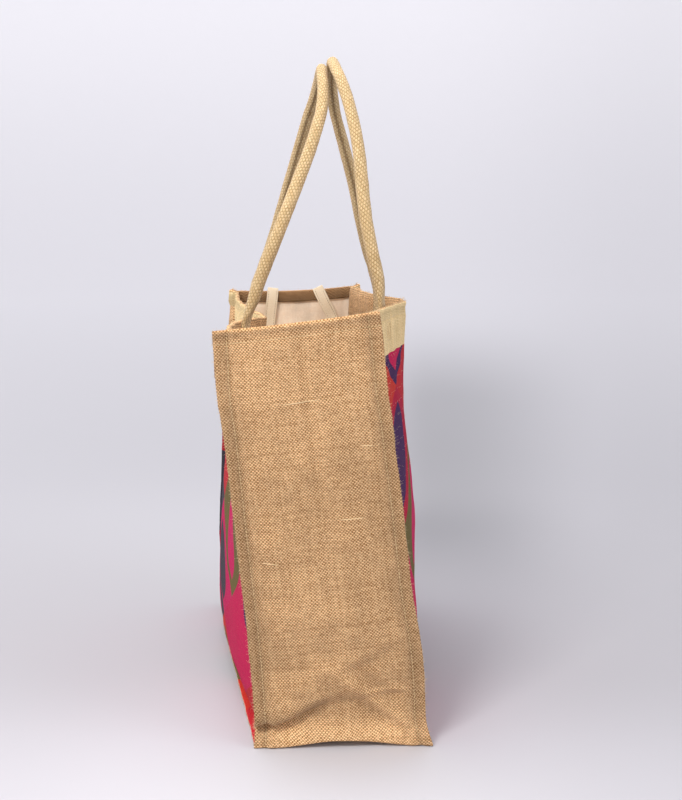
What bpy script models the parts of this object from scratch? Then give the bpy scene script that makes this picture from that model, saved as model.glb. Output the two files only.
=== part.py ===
"""Burlap carrying bag, standing open and empty on a flat surface.

One strip of cloth makes the near side, the base and the far side. A large
panel closes the bag on the left and another on the right, and every seam
stands outward as a narrow flange. Two long padded handles are sewn inside the
mouth of the panels and lean together above it, and two flat ties hang inside
from the rim of the far side.

Metres, +Z up. The origin is the middle of the sewn base, on the surface that
the bag stands on. Y runs along the bag from the near side to the far side.
"""

import math

import bmesh
import bpy
from mathutils import Vector

# ---------------------------------------------------------------- sizes

FLANGE = 0.0100  # cloth that stands outside each seam
CLOTH = 0.0016  # burlap with its inner film
HEM = 0.0026  # the same cloth turned in along the rim
HEM_SHARE = 0.031  # depth of the turned hem, as a share of the height
HEM_STEP = 0.954  # height share at which the cloth is single again
GAP = 0.0004  # clearance between two cloths in a seam
FOLD = 0.0070  # radius of the fold between the base and each end
HANDLE_R = (0.0058, 0.0067)  # padded handle, radius at its top and further down
FOOT_HALF = (0.0100, 0.0026)  # its flat sewn end, half width and half thickness
FOOT_LENGTH = 0.036  # how far the sewn end goes down inside
TIE_HALF = (0.0070, 0.0012)  # flat tie, half width and half thickness
CLEAR = 0.0012  # clearance between a sewn-on piece and its cloth

# Height shares of the cross rows, from the rim down.
LEVELS = (1.0, 0.985, 1.0 - HEM_SHARE, HEM_STEP, 0.92, 0.87, 0.81, 0.74, 0.67,
          0.60, 0.53, 0.46, 0.39, 0.32, 0.26, 0.20, 0.155, 0.12, 0.095, 0.072,
          0.050, 0.032, 0.0167)
CROSS = (-1.0, -0.75, -0.5, -0.25, 0.0, 0.25, 0.5, 0.75, 1.0)
BASE_STEPS = 20

# ---------------------------------------------------------------- tables

# The four upright seams: height share, x, y.
SEAMS = {
    "near_left": ((0.00, -0.0345, -0.2060), (0.06, -0.0340, -0.2045),
                  (0.115, -0.0355, -0.2030), (0.24, -0.0391, -0.2025),
                  (0.365, -0.0440, -0.2025), (0.50, -0.0497, -0.2025),
                  (0.75, -0.0595, -0.2025), (0.84, -0.0642, -0.2025),
                  (1.00, -0.0670, -0.2025)),
    "near_right": ((0.00, 0.1205, -0.2040), (0.06, 0.1142, -0.2032),
                   (0.115, 0.1132, -0.2025), (0.17, 0.1117, -0.2025),
                   (0.24, 0.1087, -0.2025), (0.31, 0.1036, -0.2025),
                   (0.365, 0.0995, -0.2025), (0.55, 0.0902, -0.2025),
                   (0.75, 0.0790, -0.2025), (0.84, 0.0734, -0.2025),
                   (0.93, 0.0694, -0.2025), (1.00, 0.0655, -0.2025)),
    "far_left": ((0.00, -0.1125, 0.2040), (0.15, -0.1120, 0.2045),
                 (0.54, -0.1045, 0.2040), (1.00, -0.0915, 0.1980)),
    "far_right": ((0.00, 0.0345, 0.2040), (0.15, 0.0360, 0.2045),
                  (0.50, 0.0435, 0.2040), (1.00, 0.0545, 0.1980)),
}
RIM_Z = {"near_left": 0.4140, "near_right": 0.4300,
         "far_left": 0.4180, "far_right": 0.4240}

# Bulge of each end between its seams: height share, how far it stands out.
END_BULGE = {
    "near": ((0.0, 0.000), (0.06, 0.004), (0.12, 0.003), (0.30, 0.007),
             (0.60, 0.004), (0.85, 0.007), (1.0, 0.010)),
    "far": ((0.0, 0.000), (0.10, 0.006), (0.50, 0.012), (0.90, 0.006),
            (1.0, 0.003)),
}
# The creased foot of the near end: height share, push inward at its left
# seam, in its middle and at its right seam.
NEAR_CREASE = ((0.000, 0.0000, 0.0000, 0.0000),
               (0.032, -0.0015, -0.0030, -0.0010),
               (0.050, 0.0010, -0.0030, -0.0010),
               (0.072, 0.0045, 0.0010, 0.0000),
               (0.095, 0.0030, 0.0050, 0.0005),
               (0.120, 0.0010, 0.0030, 0.0005),
               (0.155, 0.0000, 0.0000, 0.0000),
               (1.000, 0.0000, 0.0000, 0.0000))

# The rim of each panel: share of the way from near to far, push toward +X,
# sag.
PANEL_RIM = {
    "left": ((0.00, 0.000, 0.000), (0.12, 0.002, 0.000), (0.20, 0.005, 0.001),
             (0.27, 0.014, 0.002), (0.34, 0.025, 0.003), (0.41, 0.035, 0.005),
             (0.47, 0.034, 0.005), (0.55, 0.024, 0.004), (0.65, 0.013, 0.002),
             (0.80, 0.004, 0.001), (1.00, 0.000, 0.000)),
    "right": ((0.00, 0.000, 0.000), (0.12, 0.011, 0.000), (0.235, 0.024, 0.000),
              (0.36, 0.040, 0.000), (0.47, 0.050, 0.001), (0.56, 0.046, 0.001),
              (0.65, 0.031, 0.001), (0.80, 0.013, 0.000), (1.00, 0.000, 0.000)),
}
# How fast the shape of the rim fades downward, as a power of the height share.
RIM_FADE = {"left": 1.7, "right": 1.2}
# Belly of each panel: height share, how far it stands out.
PANEL_BELLY = {
    "left": ((0.0, 0.000), (0.03, 0.0075), (0.08, 0.0155), (0.16, 0.0205),
             (0.28, 0.0235), (0.45, 0.0210), (0.70, 0.0090), (1.0, 0.000)),
    "right": ((0.0, 0.000), (0.03, 0.0060), (0.08, 0.0130), (0.16, 0.0205),
              (0.28, 0.0270), (0.45, 0.0275), (0.70, 0.0115), (0.88, 0.0045),
              (1.0, 0.000)),
}
BASE_BOW = {"left": 0.0, "right": 0.014}  # how far each base seam bows out

# Handles: x, y and z of the free part, from the near end to the far end.
HANDLES = {
    "left": ((-0.0466, -0.1022, 0.4400), (-0.0376, -0.1013, 0.4654),
             (-0.0226, -0.0984, 0.5024), (-0.0072, -0.0931, 0.5415),
             (0.0081, -0.0849, 0.5816), (0.0200, -0.0720, 0.6207),
             (0.0221, -0.0583, 0.6450), (0.0211, -0.0440, 0.6598),
             (0.0200, -0.0215, 0.6688), (0.0168, 0.0015, 0.6598),
             (0.0121, 0.0153, 0.6440), (0.0031, 0.0290, 0.6197),
             (-0.0088, 0.0419, 0.5816), (-0.0209, 0.0501, 0.5415),
             (-0.0329, 0.0554, 0.5024), (-0.0456, 0.0583, 0.4654),
             (-0.0558, 0.0592, 0.4400)),
    "right": ((0.0780, -0.1072, 0.4560), (0.0722, -0.1063, 0.4808),
              (0.0653, -0.1032, 0.5161), (0.0614, -0.0979, 0.5523),
              (0.0574, -0.0893, 0.5896), (0.0493, -0.0760, 0.6268),
              (0.0415, -0.0620, 0.6517), (0.0356, -0.0470, 0.6662),
              (0.0314, -0.0240, 0.6757), (0.0304, 0.0000, 0.6662),
              (0.0308, 0.0140, 0.6517), (0.0343, 0.0280, 0.6268),
              (0.0445, 0.0413, 0.5896), (0.0545, 0.0499, 0.5523),
              (0.0620, 0.0552, 0.5161), (0.0700, 0.0583, 0.4808),
              (0.0774, 0.0592, 0.4560)),
}
FOOT_SHARE = {"left": (0.252, 0.652), "right": (0.238, 0.652)}

# Ties on the inner face of the far end: x and z of the centre line.
TIES = {
    "left": ((-0.0455, 0.4230), (-0.0470, 0.4080), (-0.0500, 0.3850),
             (-0.0520, 0.3550), (-0.0515, 0.3200), (-0.0490, 0.2850),
             (-0.0480, 0.2500)),
    "right": ((0.0105, 0.4240), (0.0190, 0.4060), (0.0280, 0.3880),
              (0.0335, 0.3680), (0.0355, 0.3400), (0.0345, 0.3050),
              (0.0315, 0.2700)),
}

MATERIALS = {
    "gusset": (0.60, 0.38, 0.18),
    "panel_left": (0.66, 0.47, 0.27),
    "panel_right": (0.66, 0.47, 0.27),
    "handle_left": (0.74, 0.52, 0.24),
    "handle_right": (0.74, 0.52, 0.24),
    "tie_left": (0.74, 0.52, 0.24),
    "tie_right": (0.74, 0.52, 0.24),
}


# ---------------------------------------------------------------- helpers

def curve(rows, at, column):
    """The value of one column at a share, on a smooth line through the rows."""
    keys = [row[0] for row in rows]
    at = min(max(at, keys[0]), keys[-1])
    k = 0
    while k < len(keys) - 2 and at > keys[k + 1]:
        k += 1

    def slope(n):
        low, high = max(n - 1, 0), min(n + 1, len(rows) - 1)
        return (rows[high][column] - rows[low][column]) / (keys[high] - keys[low])

    width = keys[k + 1] - keys[k]
    u = (at - keys[k]) / width
    a, b = rows[k][column], rows[k + 1][column]
    return ((2 * u ** 3 - 3 * u ** 2 + 1) * a + (u ** 3 - 2 * u ** 2 + u) * width * slope(k)
            + (3 * u ** 2 - 2 * u ** 3) * b + (u ** 3 - u ** 2) * width * slope(k + 1))


def cloth_at(level):
    """Thickness of the cloth at a height share."""
    if level >= 1.0 - HEM_SHARE - 1e-6:
        return HEM
    return CLOTH


def crease(level, across):
    """Inward push of the near end at a height share, for across from -1 to 1."""
    left, middle, right = (curve(NEAR_CREASE, level, c) for c in (1, 2, 3))
    if across < 0:
        return middle + (left - middle) * across * across
    return middle + (right - middle) * across * across


# ---------------------------------------------------------------- the strip

class Row:
    """One cross row of the strip: its two seam points and the way inward."""

    def __init__(self, part, level, left, right):
        self.part = part
        self.level = level
        self.ends = {"left": left, "right": right}
        self.inward = {}


def seam_point(corner, level):
    x = curve(SEAMS[corner], level, 1)
    y = curve(SEAMS[corner], level, 2)
    if corner.startswith("near"):
        y += crease(level, -1.0 if corner.endswith("left") else 1.0)
    return Vector((x, y, RIM_Z[corner] * level))


def strip_rows():
    rows = []
    for level in LEVELS:
        rows.append(Row("near", level, seam_point("near_left", level),
                        seam_point("near_right", level)))
    base = {c: seam_point(c, 0.0) for c in SEAMS}
    for corner, low, high, way in (("near", 0.29, 0.29, 1.0),):
        rows.append(Row("fold", 0.0, *(base[corner + side] + Vector((0, low * FOLD * way, high * FOLD))
                                       for side in ("_left", "_right"))))
    for k in range(BASE_STEPS + 1):
        share = k / BASE_STEPS
        ends = []
        for side, sign in (("left", -1.0), ("right", 1.0)):
            near, far = base["near_" + side], base["far_" + side]
            y = near.y + FOLD + (far.y - near.y - 2 * FOLD) * share
            along = (y - near.y) / (far.y - near.y)
            x = near.x + (far.x - near.x) * along
            x += sign * BASE_BOW[side] * math.sin(math.pi * along)
            ends.append(Vector((x, y, 0.0)))
        rows.append(Row("base", 0.0, *ends))
    rows.append(Row("fold", 0.0, *(base["far" + side] + Vector((0, -0.29 * FOLD, 0.29 * FOLD))
                                   for side in ("_left", "_right"))))
    for level in reversed(LEVELS):
        rows.append(Row("far", level, seam_point("far_left", level),
                        seam_point("far_right", level)))
    for side in ("left", "right"):
        path = [(row.ends[side].y, row.ends[side].z) for row in rows]
        for k, row in enumerate(rows):
            ways = []
            for a, b in ((k - 1, k), (k, k + 1)):
                if a >= 0 and b < len(path):
                    dy, dz = path[b][0] - path[a][0], path[b][1] - path[a][1]
                    size = math.hypot(dy, dz)
                    ways.append((-dz / size, dy / size))
            first, last = ways[0], ways[-1]
            dot = first[0] * last[0] + first[1] * last[1]
            row.inward[side] = Vector((0.0, (first[0] + last[0]) / (1 + dot),
                                       (first[1] + last[1]) / (1 + dot)))
    return rows


ROWS = strip_rows()


def strip_point(row, across):
    """Outer face of the strip; across runs from -1 to 1 between the seams."""
    left, right = row.ends["left"], row.ends["right"]
    point = left.lerp(right, (across + 1) / 2)
    if row.part == "base":
        return point
    shape = 1 - across * across
    if row.part == "fold":
        return point
    push = -curve(END_BULGE[row.part], row.level, 1) * shape
    if row.part == "near":
        straight = (crease(row.level, -1.0) * (1 - across) + crease(row.level, 1.0) * (1 + across)) / 2
        push += crease(row.level, across) - straight
    else:
        point.z -= 0.003 * shape * row.level
    inward = row.inward["left"].lerp(row.inward["right"], (across + 1) / 2).normalized()
    return point + inward * push


def outward(row, side):
    left, right = row.ends["left"], row.ends["right"]
    way = (left - right).normalized()
    return way if side == "left" else -way


def sheet_object(name, points, faces, weights, probe, facing):
    """An open sheet given by its outer face, made solid toward the inside."""
    mesh = bpy.data.meshes.new(name)
    work = bmesh.new()
    verts = [work.verts.new(p) for p in points]
    for face in faces:
        work.faces.new([verts[k] for k in face])
    bmesh.ops.recalc_face_normals(work, faces=work.faces[:])
    work.faces.ensure_lookup_table()
    if work.faces[probe].normal.dot(Vector(facing)) < 0:
        bmesh.ops.reverse_faces(work, faces=work.faces[:])
    work.to_mesh(mesh)
    work.free()
    thing = bpy.data.objects.new(name, mesh)
    group = thing.vertex_groups.new(name="cloth")
    for k, weight in enumerate(weights):
        group.add([k], weight / HEM, "REPLACE")
    solid = thing.modifiers.new("cloth", "SOLIDIFY")
    solid.thickness = HEM
    solid.offset = -1.0
    solid.use_even_offset = True
    solid.use_quality_normals = True
    solid.use_rim = True
    solid.vertex_group = "cloth"
    solid.thickness_vertex_group = 0.0
    return finish_object(thing)


def finish_object(thing):
    material = bpy.data.materials.new(thing.name)
    material.use_nodes = True
    shader = material.node_tree.nodes["Principled BSDF"]
    shader.inputs["Base Color"].default_value = (*MATERIALS[thing.name], 1.0)
    shader.inputs["Roughness"].default_value = 0.85
    material.diffuse_color = (*MATERIALS[thing.name], 1.0)
    thing.data.materials.append(material)
    BAG.objects.link(thing)
    return thing


def make_gusset():
    points, weights, faces = [], [], []
    columns = len(CROSS) + 2
    for row in ROWS:
        line = [row.ends["left"] + outward(row, "left") * FLANGE]
        line += [strip_point(row, across) for across in CROSS]
        line += [row.ends["right"] + outward(row, "right") * FLANGE]
        points += line
        level = row.level if row.part in ("near", "far") else 0.0
        weights += [cloth_at(level)] * columns
    for j in range(len(ROWS) - 1):
        for i in range(columns - 1):
            a = j * columns + i
            faces.append((a, a + 1, a + columns + 1, a + columns))
    probe = 6 * (columns - 1) + 5
    sheet_object("gusset", points, faces, weights, probe, (0, -1, 0))


# ---------------------------------------------------------------- the panels

def seam_line(side):
    """Outer face of a panel along its seam: near side, base, far side."""
    line = []
    for row in ROWS:
        level = row.level if row.part in ("near", "far") else 0.0
        away = 2 * cloth_at(level) + GAP
        line.append(row.ends[side] + row.inward[side] * away)
    return line


SEAM_LINES = {side: seam_line(side) for side in ("left", "right")}


def panel_grid(side):
    """Rows of points, from the rim to the base, each from near to far."""
    sign = -1.0 if side == "left" else 1.0
    line = SEAM_LINES[side]
    count = len(LEVELS)
    near = line[:count + 1]
    far = list(reversed(line))[:count + 1]
    bottom = line[count:len(line) - count]
    first, last = bottom[0], bottom[-1]
    shares = [(p.y - first.y) / (last.y - first.y) for p in bottom]
    grid = []
    for j in range(count + 1):
        level = LEVELS[j] if j < count else 0.0
        row = []
        for i, share in enumerate(shares):
            point = near[j].lerp(far[j], share)
            if 0 < i < len(shares) - 1:
                bow = Vector((sign * BASE_BOW[side] * math.sin(math.pi * share), 0, 0))
                low = bottom[i] - first.lerp(last, share) - bow
                point = point + bow * (1 - level) ** 2 + low * (1 - level) ** 6
                rim = curve(PANEL_RIM[side], share, 1) * level ** RIM_FADE[side]
                sag = curve(PANEL_RIM[side], share, 2) * level
                belly = curve(PANEL_BELLY[side], level, 1) * math.sin(math.pi * share)
                point = point + Vector((rim + sign * belly, 0, -sag))
            row.append(point)
        grid.append(row)
    return grid, shares


GRIDS = {side: panel_grid(side) for side in ("left", "right")}


def make_panel(side):
    grid, shares = GRIDS[side]
    columns = len(shares)
    points, weights, faces = [], [], []
    for j, row in enumerate(grid):
        level = LEVELS[j] if j < len(LEVELS) else 0.0
        points += row
        weights += [cloth_at(level)] * columns
    for j in range(len(grid) - 1):
        for i in range(columns - 1):
            a = j * columns + i
            faces.append((a, a + 1, a + columns + 1, a + columns))
    edge = [j * columns for j in range(len(grid))]
    edge += [(len(grid) - 1) * columns + i for i in range(1, columns)]
    edge += [j * columns + columns - 1 for j in range(len(grid) - 2, -1, -1)]
    lip = []
    for row, inner in zip(ROWS, edge):
        lip.append(len(points))
        points.append(points[inner] + outward(row, side) * (FLANGE - 0.0004))
        weights.append(weights[inner])
    for k in range(len(edge) - 1):
        faces.append((edge[k], edge[k + 1], lip[k + 1], lip[k]))
    probe = 10 * (columns - 1) + columns // 2
    sheet_object("panel_" + side, points, faces, weights, probe,
                 (-1, 0, 0) if side == "left" else (1, 0, 0))


def panel_place(side, share, level):
    """A point on a panel's outer face, its run toward the far side and its
    way inward, read off the grid."""
    grid, shares = GRIDS[side]
    i = max(k for k in range(len(shares) - 1) if shares[k] <= share)
    u = (share - shares[i]) / (shares[i + 1] - shares[i])
    j = max(k for k in range(len(LEVELS) - 1) if LEVELS[k] >= level)
    v = (LEVELS[j] - level) / (LEVELS[j] - LEVELS[j + 1])
    top = grid[j][i].lerp(grid[j][i + 1], u)
    low = grid[j + 1][i].lerp(grid[j + 1][i + 1], u)
    run = (grid[j][i + 1] - grid[j][i]).normalized()
    up = (top - low).normalized()
    inward = run.cross(up) if side == "right" else up.cross(run)
    inward.normalize()
    if inward.x * (1 if side == "left" else -1) < 0:
        inward = -inward
    return top.lerp(low, v), run, inward


# ---------------------------------------------------------------- sewn-on

def smooth_line(knots, steps):
    """Points on a smooth line through the knots, steps to each span."""
    padded = [knots[0] * 2 - knots[1]] + knots + [knots[-1] * 2 - knots[-2]]
    line = []
    for k in range(1, len(padded) - 2):
        a, b, c, d = padded[k - 1:k + 3]
        for n in range(steps):
            u = n / steps
            line.append(0.5 * (2 * b + (c - a) * u + (2 * a - 5 * b + 4 * c - d) * u * u
                               + (3 * b - a - 3 * c + d) * u ** 3))
    line.append(knots[-1])
    return line


def loft(name, sections, sides, power):
    """A closed tube through sections of centre, width way, thickness way,
    half width, half thickness and roundness."""
    points, faces = [], []
    for centre, wide, deep, half_wide, half_deep, square in sections:
        for k in range(sides):
            angle = 2 * math.pi * (k + 0.5) / sides
            c, s = math.cos(angle), math.sin(angle)
            c = math.copysign(abs(c) ** square, c)
            s = math.copysign(abs(s) ** square, s)
            points.append(centre + wide * (half_wide * c) + deep * (half_deep * s))
    for j in range(len(sections) - 1):
        for k in range(sides):
            a, b = j * sides + k, j * sides + (k + 1) % sides
            faces.append((a, b, b + sides, a + sides))
    faces.append(tuple(range(sides)))
    faces.append(tuple(reversed(range(len(points) - sides, len(points)))))
    mesh = bpy.data.meshes.new(name)
    work = bmesh.new()
    verts = [work.verts.new(p) for p in points]
    for face in faces:
        work.faces.new([verts[k] for k in face])
    bmesh.ops.recalc_face_normals(work, faces=work.faces[:])
    work.to_mesh(mesh)
    work.free()
    return finish_object(bpy.data.objects.new(name, mesh))


def make_handle(side):
    knots = [Vector(p) for p in HANDLES[side]]
    feet = []
    for share in FOOT_SHARE[side]:
        rim, _, _ = panel_place(side, share, 1.0)
        foot = []
        for drop in (FOOT_LENGTH, 0.66 * FOOT_LENGTH, 0.33 * FOOT_LENGTH, 0.0005):
            place, run, inward = panel_place(side, share, 1.0 - drop / rim.z)
            foot.append((place + inward * (HEM + CLEAR + FOOT_HALF[1]), inward))
        feet.append(foot)
    near, far = feet
    centres = [c for c, _ in near] + knots + [c for c, _ in reversed(far)]
    deeps = ([w for _, w in near] + [None] * len(knots) + [w for _, w in reversed(far)])
    # half width, half thickness and roundness: flat foot, then round
    flat = (FOOT_HALF[0], FOOT_HALF[1], 0.55)
    sizes = [flat] * 3 + [(0.0098, 0.0028, 0.6)]
    sizes += [(0.0072, 0.0064, 0.9)]
    for k in range(1, len(knots) - 1):
        down = min(abs(2 * k / (len(knots) - 1) - 1) / 0.6, 1.0)
        radius = HANDLE_R[0] + (HANDLE_R[1] - HANDLE_R[0]) * down * down
        sizes.append((radius, radius, 1.0))
    sizes += [(0.0072, 0.0064, 0.9)] + [(0.0098, 0.0028, 0.6)] + [flat] * 3
    steps = 2
    line = smooth_line(centres, steps)
    count = len(centres)
    sections = []
    for n, centre in enumerate(line):
        k = min(n // steps, count - 2)
        u = n / steps - k
        before, after = line[max(n - 1, 0)], line[min(n + 1, len(line) - 1)]
        along = (after - before).normalized()
        pull = Vector((1.0 if side == "left" else -1.0, 0, 0))
        a = deeps[k] if deeps[k] is not None else pull
        b = deeps[k + 1] if deeps[k + 1] is not None else pull
        deep = a.lerp(b, u)
        deep = (deep - along * deep.dot(along)).normalized()
        wide = along.cross(deep).normalized()
        size = [sizes[k][m] + (sizes[k + 1][m] - sizes[k][m]) * u for m in range(3)]
        sections.append((centre, wide, deep, *size))
    loft("handle_" + side, sections, 10, 1.0)


def far_face(x, z):
    """y of the inner face of the far end."""
    rows = [row for row in ROWS if row.part == "far"]
    best = None
    for low, high in zip(rows, rows[1:]):
        share = (z - low.ends["left"].z) / (high.ends["left"].z - low.ends["left"].z)
        if share <= 1.0 or high is rows[-1]:
            best = (low, high, min(max(share, 0.0), 1.0))
            break
    values = []
    for row in best[:2]:
        left, right = row.ends["left"].x, row.ends["right"].x
        across = min(max(2 * (x - left) / (right - left) - 1, -1.0), 1.0)
        values.append(strip_point(row, across).y)
    return values[0] + (values[1] - values[0]) * best[2] - HEM


def make_tie(side):
    knots = [Vector((x, far_face(x, z) - CLEAR - TIE_HALF[1], z)) for x, z in TIES[side]]
    line = smooth_line(knots, 3)
    sections = []
    for n, centre in enumerate(line):
        before, after = line[max(n - 1, 0)], line[min(n + 1, len(line) - 1)]
        along = (after - before).normalized()
        deep = Vector((0, 1, 0))
        deep = (deep - along * deep.dot(along)).normalized()
        wide = along.cross(deep).normalized()
        sections.append((centre, wide, deep, TIE_HALF[0], TIE_HALF[1], 0.5))
    loft("tie_" + side, sections, 8, 1.0)


# ---------------------------------------------------------------- build

for old in list(bpy.data.objects):
    bpy.data.objects.remove(old, do_unlink=True)

BAG = bpy.data.collections.new("burlap_bag")
bpy.context.scene.collection.children.link(BAG)

make_gusset()
for which in ("left", "right"):
    make_panel(which)
    make_handle(which)
    make_tie(which)
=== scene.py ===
"""Looks of the burlap bag: its cloths, hems, seams, stitches, handles and ties,
the camera, the light and the floor. Metres, in the frame of the CAD."""

import math
import random

import bmesh
import bpy
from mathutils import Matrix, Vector, noise


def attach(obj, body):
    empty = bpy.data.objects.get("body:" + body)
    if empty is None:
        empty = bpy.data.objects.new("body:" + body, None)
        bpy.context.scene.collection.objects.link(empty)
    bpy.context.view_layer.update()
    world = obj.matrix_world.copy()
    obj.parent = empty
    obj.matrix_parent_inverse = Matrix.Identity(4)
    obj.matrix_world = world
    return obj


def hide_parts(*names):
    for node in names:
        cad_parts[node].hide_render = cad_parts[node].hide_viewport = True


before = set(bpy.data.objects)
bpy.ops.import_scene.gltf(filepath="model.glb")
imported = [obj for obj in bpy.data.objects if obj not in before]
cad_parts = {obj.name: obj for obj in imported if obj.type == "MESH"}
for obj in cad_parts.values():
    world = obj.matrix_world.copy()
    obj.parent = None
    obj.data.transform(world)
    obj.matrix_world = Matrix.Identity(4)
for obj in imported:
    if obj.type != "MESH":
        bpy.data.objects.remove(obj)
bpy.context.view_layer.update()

# ================================================================ sizes

FLANGE = 0.0104  # cloth outside each seam
CLOTH = 0.0013  # one layer of burlap with its film
EDGE = 0.0019  # the turned outer edge of a flange
HEM_GAP = 0.0025  # from the outer face of a wall to the face of its turned hem
HEM_DEPTH = 0.0130  # height of the turned hem
PANEL_HEM = 0.0450  # the same on the panels, where the handles are sewn
SEAM_PULL = 0.0014  # how far a seam draws the cloth in
SEAM_STEP = 0.0030  # from the outer face of the strip to the outer face of a panel's lip
FOOT_TOP = 0.078  # below this height the ends have a profile of their own
WALL_ROWS = 116
FOOT_STEPS = 4
HEM_ROWS = 7
ARC_ROWS = 4

# ================================================================ tables

SEAMS = {
    "near_left": ((0.00, -0.0345, -0.2025), (0.06, -0.0340, -0.2025),
                  (0.115, -0.0355, -0.2025), (0.24, -0.0391, -0.2025),
                  (0.365, -0.0440, -0.2025), (0.50, -0.0497, -0.2025),
                  (0.75, -0.0595, -0.2025), (0.84, -0.0642, -0.2025),
                  (1.00, -0.0670, -0.2025)),
    "near_right": ((0.00, 0.1205, -0.2025), (0.06, 0.1142, -0.2025),
                   (0.115, 0.1132, -0.2025), (0.17, 0.1117, -0.2025),
                   (0.24, 0.1087, -0.2025), (0.31, 0.1036, -0.2025),
                   (0.365, 0.0995, -0.2025), (0.55, 0.0902, -0.2025),
                   (0.75, 0.0790, -0.2025), (0.84, 0.0734, -0.2025),
                   (0.93, 0.0694, -0.2025), (1.00, 0.0655, -0.2025)),
    "far_left": ((0.00, -0.1125, 0.2040), (0.15, -0.1120, 0.2045),
                 (0.54, -0.1045, 0.2040), (1.00, -0.0915, 0.1980)),
    "far_right": ((0.00, 0.0345, 0.2040), (0.15, 0.0360, 0.2045),
                  (0.50, 0.0435, 0.2040), (1.00, 0.0545, 0.1980)),
}
RIM_Z = {"near_left": 0.4140, "near_right": 0.4300,
         "far_left": 0.4180, "far_right": 0.4240}
END_BULGE = {
    "near": ((0.0, 0.000), (0.06, 0.004), (0.12, 0.003), (0.30, 0.007),
             (0.60, 0.004), (0.85, 0.007), (1.0, 0.010)),
    "far": ((0.0, 0.000), (0.10, 0.006), (0.50, 0.012), (0.90, 0.006),
            (1.0, 0.003)),
}
PANEL_RIM = {
    "left": ((0.00, 0.000, 0.000), (0.12, 0.002, 0.000), (0.20, 0.005, 0.001),
             (0.27, 0.014, 0.002), (0.34, 0.025, 0.003), (0.41, 0.035, 0.005),
             (0.47, 0.034, 0.005), (0.55, 0.024, 0.004), (0.65, 0.013, 0.002),
             (0.80, 0.004, 0.001), (1.00, 0.000, 0.000)),
    "right": ((0.00, 0.000, 0.000), (0.12, 0.011, 0.000), (0.235, 0.024, 0.000),
              (0.36, 0.040, 0.000), (0.47, 0.050, 0.001), (0.56, 0.046, 0.001),
              (0.65, 0.031, 0.001), (0.80, 0.013, 0.000), (1.00, 0.000, 0.000)),
}
RIM_FADE = {"left": 1.7, "right": 1.2}
PANEL_BELLY = {
    "left": ((0.0, 0.000), (0.03, 0.0105), (0.08, 0.0185), (0.16, 0.0215),
             (0.28, 0.0235), (0.45, 0.0210), (0.70, 0.0090), (1.0, 0.000)),
    "right": ((0.0, 0.000), (0.03, 0.0060), (0.08, 0.0130), (0.16, 0.0205),
              (0.28, 0.0270), (0.45, 0.0275), (0.70, 0.0115), (0.88, 0.0045),
              (1.0, 0.000)),
}
BASE_BOW = {"left": 0.0, "right": 0.014}

# Foot of the near end, from 78 mm down to the base: push inward from the
# plane of the end and height, at the left seam, in the middle and at the
# right seam. The rows match, so the crease in the seventh and eighth climbs
# from the left corner and dies out towards the right.
NEAR_FOOT = (
    ((0.0000, 0.0780), (0.0000, 0.0780), (0.0000, 0.0780)),
    ((-0.0014, 0.0650), (-0.0010, 0.0720), (0.0004, 0.0745)),
    ((-0.0036, 0.0510), (-0.0026, 0.0665), (0.0008, 0.0710)),
    ((-0.0062, 0.0390), (-0.0034, 0.0612), (0.0010, 0.0680)),
    ((-0.0078, 0.0315), (-0.0038, 0.0570), (0.0012, 0.0650)),
    ((-0.0066, 0.0256), (-0.0028, 0.0530), (0.0014, 0.0620)),
    ((-0.0014, 0.0226), (-0.0006, 0.0492), (0.0016, 0.0590)),
    ((0.0056, 0.0216), (0.0020, 0.0455), (0.0018, 0.0560)),
    ((0.0070, 0.0200), (0.0032, 0.0405), (0.0018, 0.0525)),
    ((0.0036, 0.0170), (0.0026, 0.0340), (0.0016, 0.0450)),
    ((-0.0016, 0.0126), (0.0000, 0.0262), (0.0010, 0.0330)),
    ((-0.0058, 0.0076), (-0.0040, 0.0180), (-0.0006, 0.0190)),
    ((-0.0082, 0.0032), (-0.0068, 0.0112), (-0.0030, 0.0080)),
    ((-0.0080, 0.0009), (-0.0072, 0.0080), (-0.0034, 0.0024)),
    ((-0.0060, 0.0002), (-0.0052, 0.0066), (-0.0016, 0.0004)),
)
FAR_FOOT = (
    ((0.0, 0.0780),), ((0.0, 0.0700),), ((0.0, 0.0620),), ((0.0, 0.0540),),
    ((0.0, 0.0460),), ((0.0, 0.0390),), ((0.0, 0.0320),), ((0.0, 0.0260),),
    ((0.0, 0.0205),), ((0.0, 0.0150),), ((0.0001, 0.0105),), ((0.0005, 0.0067),),
    ((0.0021, 0.0030),), ((0.0052, 0.0007),), ((0.0090, 0.0001),),
)

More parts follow.
